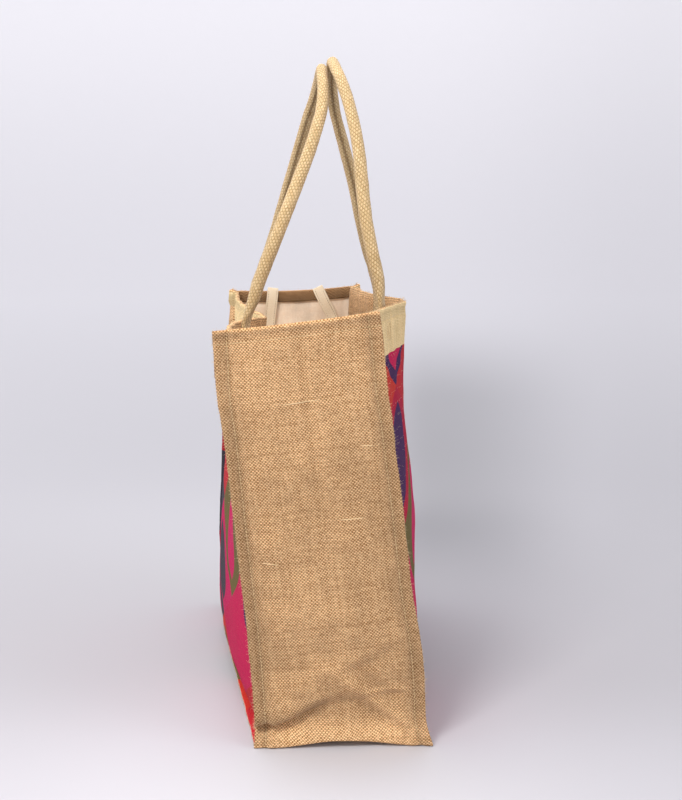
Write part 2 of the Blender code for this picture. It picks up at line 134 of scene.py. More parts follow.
# Soft folds of the near end: x and z of both ends, half width, height
# outward.
NEAR_FOLDS = (
    (0.0020, 0.414, 0.0120, 0.310, 0.0034, -0.0030),
    (0.0120, 0.310, 0.0260, 0.215, 0.0042, -0.0024),
    (0.0075, 0.405, 0.0180, 0.300, 0.0045, 0.0012),
    (-0.0040, 0.400, 0.0050, 0.310, 0.0050, 0.0010),
    (0.0300, 0.082, 0.0960, 0.030, 0.0055, 0.0030),
    (0.0380, 0.092, 0.1030, 0.044, 0.0055, -0.0026),
    (0.0280, 0.062, 0.0840, 0.024, 0.0060, -0.0026),
    (0.0480, 0.078, 0.1000, 0.104, 0.0060, -0.0026),
    (0.0150, 0.078, 0.0600, 0.088, 0.0110, 0.0030),
    (-0.0300, 0.056, 0.0250, 0.072, 0.0110, 0.0020),
    (0.0650, 0.050, 0.1080, 0.054, 0.0035, -0.0014),
    (0.0660, 0.056, 0.1080, 0.060, 0.0035, 0.0012),
    (0.0900, 0.036, 0.1120, 0.020, 0.0045, 0.0020),
    (0.0820, 0.030, 0.1040, 0.012, 0.0045, -0.0018),
    (-0.0500, 0.290, -0.0200, 0.180, 0.0140, 0.0014),
    (0.0500, 0.330, 0.0820, 0.200, 0.0120, -0.0018),
    (-0.0400, 0.150, 0.0500, 0.135, 0.0160, 0.0016),
    (-0.0450, 0.250, 0.0300, 0.235, 0.0100, -0.0010),
)
# Small tucks beside the lower left seam.
NEAR_TUCKS = (
    (-0.0235, 0.0165, -0.0335, 0.0030, 0.0021, -0.0020),
    (-0.0195, 0.0135, -0.0290, 0.0030, 0.0026, 0.0010),
    (0.1120, 0.0220, 0.1040, 0.0040, 0.0025, -0.0016),
)
# Distances below the rim of the first rows of each wall.
RIM_STEPS = (0.0, 0.0008, 0.0017, 0.0027, 0.0039, 0.0053, 0.0070, 0.0088,
             0.0104, 0.0118, 0.0134, 0.0155)

HANDLES = {
    "left": ((-0.0466, -0.1022, 0.4400), (-0.0376, -0.1013, 0.4654),
             (-0.0226, -0.0984, 0.5024), (-0.0072, -0.0931, 0.5415),
             (0.0081, -0.0849, 0.5816), (0.0200, -0.0720, 0.6207),
             (0.0221, -0.0583, 0.6450), (0.0211, -0.0440, 0.6598),
             (0.0200, -0.0215, 0.6688), (0.0168, 0.0015, 0.6598),
             (0.0121, 0.0153, 0.6440), (0.0031, 0.0290, 0.6197),
             (-0.0088, 0.0419, 0.5816), (-0.0209, 0.0501, 0.5415),
             (-0.0329, 0.0554, 0.5024), (-0.0456, 0.0583, 0.4654),
             (-0.0558, 0.0592, 0.4400)),
    "right": ((0.0780, -0.1072, 0.4560), (0.0722, -0.1063, 0.4808),
              (0.0653, -0.1032, 0.5161), (0.0614, -0.0979, 0.5523),
              (0.0574, -0.0893, 0.5896), (0.0493, -0.0760, 0.6268),
              (0.0415, -0.0620, 0.6517), (0.0356, -0.0470, 0.6662),
              (0.0314, -0.0240, 0.6757), (0.0304, 0.0000, 0.6662),
              (0.0308, 0.0140, 0.6517), (0.0343, 0.0280, 0.6268),
              (0.0445, 0.0413, 0.5896), (0.0545, 0.0499, 0.5523),
              (0.0620, 0.0552, 0.5161), (0.0700, 0.0583, 0.4808),
              (0.0774, 0.0592, 0.4560)),
}
HANDLE_R = (0.0057, 0.0066)
FOOT_SHARE = {"left": (0.252, 0.652), "right": (0.238, 0.652)}
FOOT_HALF = (0.0100, 0.0024)
FOOT_LENGTH = 0.036

TIES = {
    "left": ((-0.0455, 0.4230), (-0.0470, 0.4080), (-0.0500, 0.3850),
             (-0.0520, 0.3550), (-0.0515, 0.3200), (-0.0490, 0.2850),
             (-0.0480, 0.2500)),
    "right": ((0.0105, 0.4240), (0.0190, 0.4060), (0.0280, 0.3880),
              (0.0335, 0.3680), (0.0355, 0.3400), (0.0345, 0.3050),
              (0.0315, 0.2700)),
}
TIE_HALF = (0.0070, 0.0012)


# ================================================================ helpers

def curve(rows, at, column):
    """One column at a share, on a smooth line through the rows."""
    keys = [row[0] for row in rows]
    at = min(max(at, keys[0]), keys[-1])
    k = 0
    while k < len(keys) - 2 and at > keys[k + 1]:
        k += 1

    def slope(n):
        low, high = max(n - 1, 0), min(n + 1, len(rows) - 1)
        return (rows[high][column] - rows[low][column]) / (keys[high] - keys[low])

    width = keys[k + 1] - keys[k]
    u = (at - keys[k]) / width
    a, b = rows[k][column], rows[k + 1][column]
    return ((2 * u ** 3 - 3 * u ** 2 + 1) * a + (u ** 3 - 2 * u ** 2 + u) * width * slope(k)
            + (3 * u ** 2 - 2 * u ** 3) * b + (u ** 3 - u ** 2) * width * slope(k + 1))


def smooth(low, high, x):
    u = min(max((x - low) / (high - low), 0.0), 1.0)
    return u * u * (3 - 2 * u)


def bell(x, width):
    return math.exp(-(x / width) ** 2)


def ripple(x, y, z, size):
    """Smooth noise from about -1 to 1 whose lumps are about one size across."""
    return noise.noise(Vector((x, y, z)) / size + Vector((3.1, 7.7, 1.3)))


def smooth_line(knots, steps):
    padded = [knots[0] * 2 - knots[1]] + list(knots) + [knots[-1] * 2 - knots[-2]]
    line = []
    for k in range(1, len(padded) - 2):
        a, b, c, d = padded[k - 1:k + 3]
        for n in range(steps):
            u = n / steps
            line.append(0.5 * (2 * b + (c - a) * u + (2 * a - 5 * b + 4 * c - d) * u * u
                               + (3 * b - a - 3 * c + d) * u ** 3))
    line.append(knots[-1])
    return line


def fine_rows(knots, steps):
    """A table of numbers refined by a smooth line through its rows."""
    return [tuple(v) for v in smooth_line([Vector(k) for k in knots], steps)]


def new_object(name, points, faces, mats, uvs=None, indices=None, smooth_shade=True, shades=None):
    mesh = bpy.data.meshes.new(name)
    mesh.from_pydata([tuple(p) for p in points], [], faces)
    if shades is not None:
        mesh.attributes.new("shade", "FLOAT", "POINT").data.foreach_set("value", shades)
    if uvs is not None:
        layer = mesh.uv_layers.new(name="cloth")
        for loop in mesh.loops:
            layer.data[loop.index].uv = uvs[loop.vertex_index]
    for mat in mats:
        mesh.materials.append(mat)
    if indices is not None:
        mesh.polygons.foreach_set("material_index", indices)
    if smooth_shade:
        mesh.polygons.foreach_set("use_smooth", [True] * len(mesh.polygons))
    mesh.update()
    thing = bpy.data.objects.new(name, mesh)
    bpy.context.scene.collection.objects.link(thing)
    return thing


# ================================================================ the strip

NEAR_FINE = [fine_rows([row[c] + (0.0,) for row in NEAR_FOOT], FOOT_STEPS) for c in range(3)]
FAR_FINE = fine_rows([row[0] + (0.0,) for row in FAR_FOOT], FOOT_STEPS)
FOOT_ROWS = len(NEAR_FINE[0]) - 1
BASE_ROWS = 64
CORNER = WALL_ROWS + 12 * FOOT_STEPS  # the row that turns the corner of a panel


def near_foot(k, across):
    """Push inward and height of a row of the near foot."""
    left, middle, right = (line[k] for line in NEAR_FINE)
    across = min(max(across, -1.0), 1.0)
    if across < 0:
        u = smooth(-0.92, -0.02, across)
        a, b = left, middle
    else:
        u = smooth(0.0, 0.95, across)
        a, b = middle, right
        # the crease dies out soon after the middle
        return a[0] + (b[0] - a[0]) * smooth(0.0, 0.50, across), a[1] + (b[1] - a[1]) * u
    return a[0] + (b[0] - a[0]) * u, a[1] + (b[1] - a[1]) * u


def near_detail(x, z, across):
    """Height outward of the soft folds of the near end."""
    high = 0.0
    for x0, z0, x1, z1, half, rise in NEAR_FOLDS:
        dx, dz = x1 - x0, z1 - z0
        long = dx * dx + dz * dz
        u = ((x - x0) * dx + (z - z0) * dz) / long
        c = min(max(u, 0.0), 1.0)
        away = math.hypot(x - x0 - dx * c, z - z0 - dz * c)
        if away < 3 * half:
            fade = smooth(0.0, 0.25, c) * smooth(1.0, 0.75, c) if 0 < u < 1 else 0.0
            high += rise * bell(away, half) * (0.35 + 0.65 * fade)
    high += 0.0015 * ripple(x, 0.0, z, 0.055) + 0.0005 * ripple(x, 1.0, z, 0.022)
    high += 0.00022 * ripple(x * 1.6, 2.0, z, 0.009)
    return high * smooth(1.0, 0.86, abs(across))


def tuck(x, z):
    """Height outward of the small tucks at the lower corners."""
    high = 0.0
    for x0, z0, x1, z1, half, rise in NEAR_TUCKS:
        dx, dz = x1 - x0, z1 - z0
        c = min(max(((x - x0) * dx + (z - z0) * dz) / (dx * dx + dz * dz), 0.0), 1.0)
        away = math.hypot(x - x0 - dx * c, z - z0 - dz * c)
        high += rise * bell(away, half) * smooth(0.0, 0.3, c + 0.15)
    return high


def rim_roll(below):
    """How far the rolled edge of a hem stands out, at a distance below the rim."""
    return 0.0008 * bell(below - 0.0016, 0.0020) - 0.0008 * bell(below - 0.0064, 0.0026) - \
        0.0007 * bell(below - 0.0113, 0.0014) + 0.0004 * bell(below - 0.0150, 0.0025)


def seam_xy(corner, level):
    return curve(SEAMS[corner], level, 1), curve(SEAMS[corner], level, 2)


def wall_point(end, k, across):
    """Outer face of an end. Rows 0..WALL_ROWS go from the rim down, then the
    rows of the foot; across runs from -1 to 1 between the seams."""
    inside = min(max(across, -1.0), 1.0)
    mix = (inside + 1) / 2
    rim = RIM_Z[end + "_left"] * (1 - mix) + RIM_Z[end + "_right"] * mix
    if end == "far":
        rim -= 0.003 * (1 - inside * inside)
    sign = -1.0 if end == "near" else 1.0  # the way out, along Y
    below = None
    if k < len(RIM_STEPS):
        below = RIM_STEPS[k]
        z = rim - below
        push = 0.0
    elif k <= WALL_ROWS:
        low = len(RIM_STEPS) - 1
        top = rim - RIM_STEPS[-1]
        z = top + (FOOT_TOP - top) * ((k - low) / (WALL_ROWS - low))
        below = rim - z
        push = 0.0
    else:
        if end == "near":
            push, z = near_foot(k - WALL_ROWS, inside)
        else:
            push, z, _ = FAR_FINE[k - WALL_ROWS]
    level = z / rim
    xl, yl = seam_xy(end + "_left", level)
    xr, yr = seam_xy(end + "_right", level)
    x = xl + (xr - xl) * mix
    y = yl + (yr - yl) * mix
    bulge = curve(END_BULGE[end], level, 1) * (1 - inside * inside) * smooth(0.02, 0.09, z)
    out = bulge - push
    if below is not None and below < 0.022:
        out += rim_roll(below) * (0.85 + 0.5 * ripple(x, 8.0, 0.0, 0.02))
    if end == "near":
        out += near_detail(x, z, inside) * (1 if k <= WALL_ROWS else smooth(0.004, 0.03, z))
        if z < 0.03:
            out += tuck(x, z)
    else:
        out += (0.0016 * ripple(x, 5.0, z, 0.070) + 0.0006 * ripple(x, 6.0, z, 0.024)) * \
            smooth(1.0, 0.85, abs(inside)) * smooth(0.0, 0.02, z)
    return Vector((x, y + sign * out, z))


BASE_ENDS = {}
for side, across in (("left", -1.0), ("right", 1.0)):
    BASE_ENDS[side] = (wall_point("near", WALL_ROWS + FOOT_ROWS, across),
                       wall_point("far", WALL_ROWS + FOOT_ROWS, across))


def base_point(share, across):
    inside = min(max(across, -1.0), 1.0)
    mix = (inside + 1) / 2
    near = wall_point("near", WALL_ROWS + FOOT_ROWS, inside)
    far = wall_point("far", WALL_ROWS + FOOT_ROWS, inside)
    point = near.lerp(far, share)
    bow = (-BASE_BOW["left"] * (1 - mix) + BASE_BOW["right"] * mix) * math.sin(math.pi * share)
    lift = near.z * smooth(0.22, 0.0, share) + 0.0004 * (1 + ripple(point.x, point.y, 0, 0.05)) * \
        smooth(1.0, 0.8, abs(inside)) * smooth(0.0, 0.03, share) * smooth(1.0, 0.97, share)
    return Vector((point.x + bow, point.y, lift))


# columns of the strip: across value and, outside the seams, the distance out
INNER = []
HALF = 32
for n in range(-HALF, HALF + 1):
    u = n / HALF
    # finer near the seams, where the stitches pull the cloth in
    INNER.append(math.copysign(abs(u) ** 0.80, u))
MARGIN = (0.0016, 0.0034, 0.0054, 0.0074, 0.0090, 0.0100, FLANGE)


def raw_strip():
    """Grid of the strip's outer face between the seams, before the seams."""
    rows, info = [], []
    last = WALL_ROWS + FOOT_ROWS
    for k in range(last + 1):
        rows.append([wall_point("near", k, a) for a in INNER])
        info.append(("near", k))
    for k in range(1, BASE_ROWS):
        rows.append([base_point(k / BASE_ROWS, a) for a in INNER])
        info.append(("base", k))
    for k in range(last, -1, -1):
        rows.append([wall_point("far", k, a) for a in INNER])
        info.append(("far", k))
    return rows, info


STRIP, STRIP_INFO = raw_strip()
STRIP_AT = {key: n for n, key in enumerate(STRIP_INFO)}


def row_frames():
    """For each row and side: the way out along the flange, the way inward at
    the seam, the way inward of the flange, and the flange's width."""
    frames = []
    count = len(STRIP)
    for n, row in enumerate(STRIP):
        found = {}
        end, k = STRIP_INFO[n]
        for side, index in (("left", 0), ("right", -1)):
            seam = row[index]
            flat = seam - row[HALF]
            tilt = 1.0 if end != "base" and k < 40 else 0.5
            away = Vector((flat.x, 0.0, flat.z * tilt)).normalized()
            before, after = STRIP[max(n - 2, 0)][index], STRIP[min(n + 2, count - 1)][index]
            along = (after - before)
            along.x = 0.0
            along.normalize()
            inward = Vector((0.0, -along.z, along.y))
            turned = inward.copy()
            width = FLANGE
            if end == "far":
                # the far flanges lean back, and are trimmed at the foot
                width *= 1 - 0.45 * smooth(0.110, 0.020, seam.z)
                angle = 0.50 * smooth(0.012, 0.045, seam.z) + 0.40 * smooth(0.30, 0.40, seam.z)
                away, turned = (away * math.cos(angle) - inward * math.sin(angle),
                                inward * math.cos(angle) + away * math.sin(angle))
            if end == "near":
                if side == "left":
                    width += 0.0022 * smooth(0.25, 0.41, seam.z) + 0.0004 * smooth(0.05, 0.0, seam.z)
                else:
                    width += 0.0012 * smooth(0.030, 0.004, seam.z) + 0.0008 * smooth(0.3, 0.43, seam.z)
            if end == "base":
                width += (0.0004 if side == "left" else 0.0012) * smooth(6, 0, k)
                width *= 1 - 0.45 * smooth(BASE_ROWS - 14, BASE_ROWS, k)
            found[side] = (away, inward, turned, width)
        frames.append(found)
    return frames


FRAMES = row_frames()
PATH = [0.0]
for n in range(1, len(STRIP)):
    PATH.append(PATH[-1] + (STRIP[n][HALF] - STRIP[n - 1][HALF]).length)


def row_strength(n):
    """How strongly the seams draw the cloth of a row in."""
    end, k = STRIP_INFO[n]
    if end == "base":
        return 0.25
    return 1.0 - 0.75 * smooth(WALL_ROWS + 10 * FOOT_STEPS, WALL_ROWS + 13 * FOOT_STEPS, k)


def seam_pull(n, side):
    phase = 11.0 if side == "left" else 29.0
    return SEAM_PULL * (1 + 0.30 * ripple(PATH[n], phase + 2, 0, 0.008)) * row_strength(n)


def margin_point(n, side, out, thick=0.0):
    """The strip's outer face in a flange: at the seam for out = 0. thick goes
    inward from there."""
    away, inward, turned, width = FRAMES[n][side]
    seam = STRIP[n][0 if side == "left" else -1]
    along = PATH[n]
    strong = row_strength(n)
    phase = 11.0 if side == "left" else 29.0
    share = out / FLANGE
    curl = (0.0013 + 0.0014 * ripple(along, phase, 0, 0.045)) * share ** 2 * strong
    wave = 0.0005 * share * ripple(along, phase + 5, 0, 0.012) * strong
    edge = (0.0006 * ripple(along, phase + 9, 0, 0.020) + 0.0003 * ripple(along, phase + 3, 0, 0.006)) * share
    pull = seam_pull(n, side) * math.exp(-(out / 0.0024) ** 1.5) if out > 0 else seam_pull(n, side)
    mixed = inward.lerp(turned, smooth(0.0, 0.004, out))
    point = seam + away * (share * width + edge) + mixed * (pull - curl - wave + thick)
    point.z = max(point.z, 0.0001)
    return point


def strip_vertex(n, i):
    """Strip's outer face with the pull of the seams."""
    point = STRIP[n][i]
    for side, seam in (("left", STRIP[n][0]), ("right", STRIP[n][-1])):
        away = (point - seam).length
        if away < 0.030:
            phase = 13.0 if side == "left" else 31.0
            inward = FRAMES[n][side][1]
            pull = seam_pull(n, side) * math.exp(-(away / 0.0034) ** 1.4)
            puff = 0.0009 * bell(away - 0.0090, 0.0050) * (1 + 0.9 * ripple(PATH[n], phase + 1, 0, 0.011))
            point = point + inward * (pull - puff * row_strength(n))
    return point


def strip_shade(n, i, distance):
    """Painted light and shade on the strip: painted shade under the rim, lower down the near end, in the crease at the
    foot and in the seams, and painted light on the rim, the flap and the ridges of the folds.
    """
    end, k = STRIP_INFO[n]
    shade = 1.0
    if end != "base":
        rim = STRIP[0 if end == "near" else -1][i]
        below = (rim - STRIP[n][i]).length
        # painted shade in a band under the rolled rim and at the hem's stitch line
        shade *= 1.0 - 0.16 * bell(below - 0.0058, 0.0030) - 0.10 * bell(below - 0.0113, 0.0014)
        # painted highlight along the folded edge of the rim
        shade *= 1.0 + 0.34 * bell(below, 0.0013)
        if end == "near":
            z = STRIP[n][i].z
            # painted shade lower down the near end, and painted light on the flap at the foot
            shade *= 1.0 - 0.13 * smooth(0.39, 0.24, z) + 0.33 * smooth(0.034, 0.014, z)
            if INNER[i] not in (-1.0, 1.0):
                # painted light on the ridges of the folds and painted shade in their hollows
                shade *= 1.0 + 30.0 * min(max(near_detail(STRIP[n][i].x, z, INNER[i]), -0.0045), 0.0035)
            crease = k - WALL_ROWS - 6.7 * FOOT_STEPS
            if k > WALL_ROWS:
                # painted shade in the crease at the foot and under the overhang above it
                shade *= 1.0 - 0.44 * bell(crease, 2.2) * smooth(0.05, -0.55, INNER[i])
                shade *= 1.0 - 0.22 * bell(crease + 6, 6.0) * smooth(0.15, -0.45, INNER[i])
    # painted shade in the seam groove and beside it
    shade *= 1.0 - 0.26 * bell(distance, 0.0022) - 0.13 * bell(distance - 0.003, 0.0090)
    return shade


def hem_rows(rim, up, inward):
    """Rows of a turned hem inside the rim, from its lower edge up and over."""
    rows = []
    radius = HEM_GAP / 2
    for k in range(HEM_ROWS):
        down = HEM_DEPTH * (1 - k / HEM_ROWS)
        rows.append([p + w * HEM_GAP - u * (down + 0.0006 * ripple(p.x, p.y, 4.0, 0.02) * (1 if k == 0 else 0))
                     for p, u, w in zip(rim, up, inward)])
    for k in range(ARC_ROWS):
        angle = math.pi * (1 - k / ARC_ROWS)
        rows.append([p + w * (radius - radius * math.cos(angle)) + u * (radius * math.sin(angle))
                     for p, u, w in zip(rim, up, inward)])
    return rows


def hem_shade(row, level=0.38):
    """Painted light and shade on a row of a turned hem, from its lower edge up and over: painted shade at the given
    level, darker at the stitch line, lighter towards the top, and a painted highlight over the rolled edge.
    """
    if row >= HEM_ROWS:
        low, high = min(level + 0.24, 0.95), 1.36 if level < 0.6 else 1.12
        return low + (high - low) * smooth(0, ARC_ROWS - 1, row - HEM_ROWS)
    return level - 0.14 * bell(row - 1, 0.8) + 0.16 * smooth(3, HEM_ROWS, row)


def make_shell(name, points, faces, uvs, weights, kinds, shades, probe, facing, mats):
    """An outer face made into cloth: inside faces take the next material."""
    thing = new_object(name, points, faces, mats, uvs, kinds, shades=shades)
    mesh = thing.data
    work = bmesh.new()
    work.from_mesh(mesh)
    bmesh.ops.recalc_face_normals(work, faces=work.faces[:])
    work.faces.ensure_lookup_table()
    if work.faces[probe].normal.dot(Vector(facing)) < 0:
        bmesh.ops.reverse_faces(work, faces=work.faces[:])
    work.to_mesh(mesh)
    work.free()
    group = thing.vertex_groups.new(name="cloth")
    for k, weight in enumerate(weights):
        group.add([k], weight / EDGE, "REPLACE")
    solid = thing.modifiers.new("cloth", "SOLIDIFY")
    solid.thickness = EDGE
    solid.offset = -1.0
    solid.use_even_offset = False
    solid.use_rim = True
    solid.vertex_group = "cloth"
    solid.thickness_vertex_group = 0.0
    solid.material_offset = 1
    solid.material_offset_rim = 0
    return thing


def make_gusset(mats):
    body = []
    for n in range(len(STRIP)):
        end, k = STRIP_INFO[n]
        line = [margin_point(n, "left", out) for out in reversed(MARGIN)]
        line += [strip_vertex(n, i) for i in range(len(INNER))]
        line += [margin_point(n, "right", out) for out in MARGIN]
        body.append(line)
    columns = len(body[0])
    edges = len(MARGIN)

    def frame_of(rim, second):
        ups = [(a - b).normalized() for a, b in zip(rim, second)]
        inwards = []
        for i in range(columns):
            a, b = rim[max(i - 1, 0)], rim[min(i + 1, columns - 1)]
            across = (b - a).normalized()
            inwards.append(ups[i].cross(across))
        return ups, inwards

    up, inw = frame_of(body[0], body[6])
    if inw[columns // 2].y < 0:
        inw = [-v for v in inw]
    near_hem = hem_rows(body[0], up, inw)
    up, inw = frame_of(body[-1], body[-7])
    if inw[columns // 2].y > 0:
        inw = [-v for v in inw]
    far_hem = hem_rows(body[-1], up, inw)
    grid = near_hem + body + list(reversed(far_hem))
    points, uvs, weights, faces, kinds, shades = [], [], [], [], [], []
    # distance along the strip and across it, for the weave
    top = len(near_hem)
    run = [[0.0] * columns for _ in grid]
    for j in range(top + 1, len(grid)):
        for i in range(columns):
            run[j][i] = run[j - 1][i] + (grid[j][i] - grid[j - 1][i]).length
    for j in range(top - 1, -1, -1):
        for i in range(columns):
            run[j][i] = run[j + 1][i] - (grid[j][i] - grid[j + 1][i]).length
    for j, line in enumerate(grid):
        side = [0.0]
        for i in range(1, columns):
            side.append(side[-1] + (line[i] - line[i - 1]).length)
        middle = side[columns // 2]
        hemmed = j < top or j >= len(grid) - len(far_hem)
        for i, p in enumerate(line):
            points.append(p)
            uvs.append((side[i] - middle, run[j][i]))
            out = max(edges - i, i - (columns - 1 - edges), 0) / edges
            weights.append(0.0011 if hemmed else CLOTH + (EDGE - CLOTH) * smooth(0.3, 1.0, out))
            distance = min(abs(side[i] - side[edges]), abs(side[i] - side[columns - 1 - edges]))
            # painted light and shade on each point: hem_shade on the hems, strip_shade on the rest, darker still on the
            # flanges
            if hemmed:
                shades.append(hem_shade(j if j < top else len(grid) - 1 - j))
            else:
                shades.append(strip_shade(j - top, min(max(i - edges, 0), len(INNER) - 1), distance)
                              * (1 - 0.14 * smooth(0.0, 0.3, out)))
    hem = len(near_hem)
    for j in range(len(grid) - 1):
        hemmed = j < hem or j >= len(grid) - hem - 1
        for i in range(columns - 1):
            a = j * columns + i
            faces.append((a, a + 1, a + columns + 1, a + columns))
            margin = i < edges or i >= columns - 1 - edges
            rolled = min(j - hem, len(grid) - hem - 2 - j) < 4
            kinds.append((4 if margin else 2) if hemmed else 6 if rolled else 0)
    probe = (hem + 30) * (columns - 1) + columns // 2
    thing = make_shell("gusset_cloth", points, faces, uvs, weights, kinds, shades, probe, (0, -1, 0), mats)
    return thing, grid


# ================================================================ the panels

def near_column(side, raw=False):
    """Outer face of a panel at its seams: near, base and far, row by row."""
    line = []
    for n in range(len(STRIP)):
        end, k = STRIP_INFO[n]
        inward = FRAMES[n][side][1]
        hem = 0.0
        if end != "base":
            z_below = STRIP[0 if end == "near" else -1][0 if side == "left" else -1].z - \
                STRIP[n][0 if side == "left" else -1].z
            hem = smooth(HEM_DEPTH + 0.006, HEM_DEPTH, z_below)
        step = SEAM_STEP + hem * (2 * HEM_GAP + 0.0006 - SEAM_STEP)
        line.append((STRIP[n][0 if side == "left" else -1] + inward * (step + seam_pull(n, side)), step))
    return line


def lip_point(n, side, out, step):
    return margin_point(n, side, out * 0.98, step + 0.0005 * smooth(0.4, 1.0, out / FLANGE))


def panel_surface(side):
    sign = -1.0 if side == "left" else 1.0
    seam = near_column(side)
    line = [p for p, _ in seam]
    near = line[:CORNER + 1]
    far = list(reversed(line))[:CORNER + 1]
    bottom = line[CORNER:len(line) - CORNER]
    first, last = bottom[0], bottom[-1]
    length = [0.0]
    for a, b in zip(bottom, bottom[1:]):
        length.append(length[-1] + (b - a).length)
    shares = [at / length[-1] for at in length]
    # fewer columns where the rows of the feet crowd together
    keep = [0]
    for i in range(1, len(shares) - 1):
        if (bottom[i] - bottom[keep[-1]]).length > 0.0032 and (bottom[-1] - bottom[i]).length > 0.0016:
            keep.append(i)
    keep.append(len(shares) - 1)
    grid = []
    rim_near, rim_far = RIM_Z["near_" + side], RIM_Z["far_" + side]
    near_y, far_y = -0.2025 + 0.003, 0.2040 - 0.003
    for j in range(CORNER + 1):
        row = []
        for i in keep:
            share = shares[i]
            if i == 0:
                row.append(near[j])
                continue
            if i == keep[-1]:
                row.append(far[j])
                continue
            base_near = Vector((near[j].x, near_y, near[j].z))
            base_far = Vector((far[j].x, far_y if j > 14 else far[j].y, far[j].z))
            from_near = share * (far_y - near_y)
            from_far = (1 - share) * (far_y - near_y)
            point = base_near.lerp(base_far, share)
            point += (near[j] - base_near) * math.exp(-from_near / 0.022)
            point += (far[j] - base_far) * math.exp(-from_far / 0.022)
            rim = rim_near + (rim_far - rim_near) * share
            level = min(max(point.z / rim, 0.0), 1.0)
            bow = sign * BASE_BOW[side] * math.sin(math.pi * share)
            low = bottom[i] - first.lerp(last, share) - Vector((bow, 0, 0))
            lean = curve(PANEL_RIM[side], share, 1) * level ** RIM_FADE[side]
            sag = curve(PANEL_RIM[side], share, 2) * level
            full = 1 - 0.50 * smooth(0.35, 0.10, level)
            belly = curve(PANEL_BELLY[side], level, 1) * max(math.sin(math.pi * share), 0.0) ** full
            edge = min(smooth(0.0, 0.030, from_near), smooth(0.0, 0.030, from_far),
                       smooth(0.0, 0.030, point.z))
            phase = 40.0 if side == "left" else 60.0
            wave = (0.0022 * ripple(phase, point.y, point.z, 0.095)
                    + 0.0008 * ripple(phase + 3, point.y, point.z, 0.034)
                    + 0.0002 * ripple(phase + 6, point.y, point.z, 0.011)) * edge
            # upright ripples that fade below the rim
            wave += (0.0011 * math.sin(point.y * 190 + 1.7 * ripple(0, point.y, 9, 0.08))
                     + 0.0007 * ripple(phase, point.y, 12, 0.014)) * edge * smooth(0.66, 0.96, level)
            point += Vector((lean + sign * (belly + wave) + bow * (1 - level) ** 2, 0, -sag))
            point += low * (1 - level) ** 6 * (1.0 if j == CORNER else smooth(0.06, 0.0, point.z) ** 0.5)
            row.append(point)
        grid.append(row)
    # the bottom row lies exactly on the lip
    grid[CORNER] = [bottom[i] for i in keep]
    # the pull of the seam: the cloth comes in over a few millimetres
    return grid, [shares[i] for i in keep], keep, seam


PANELS = {side: panel_surface(side) for side in ("left", "right")}


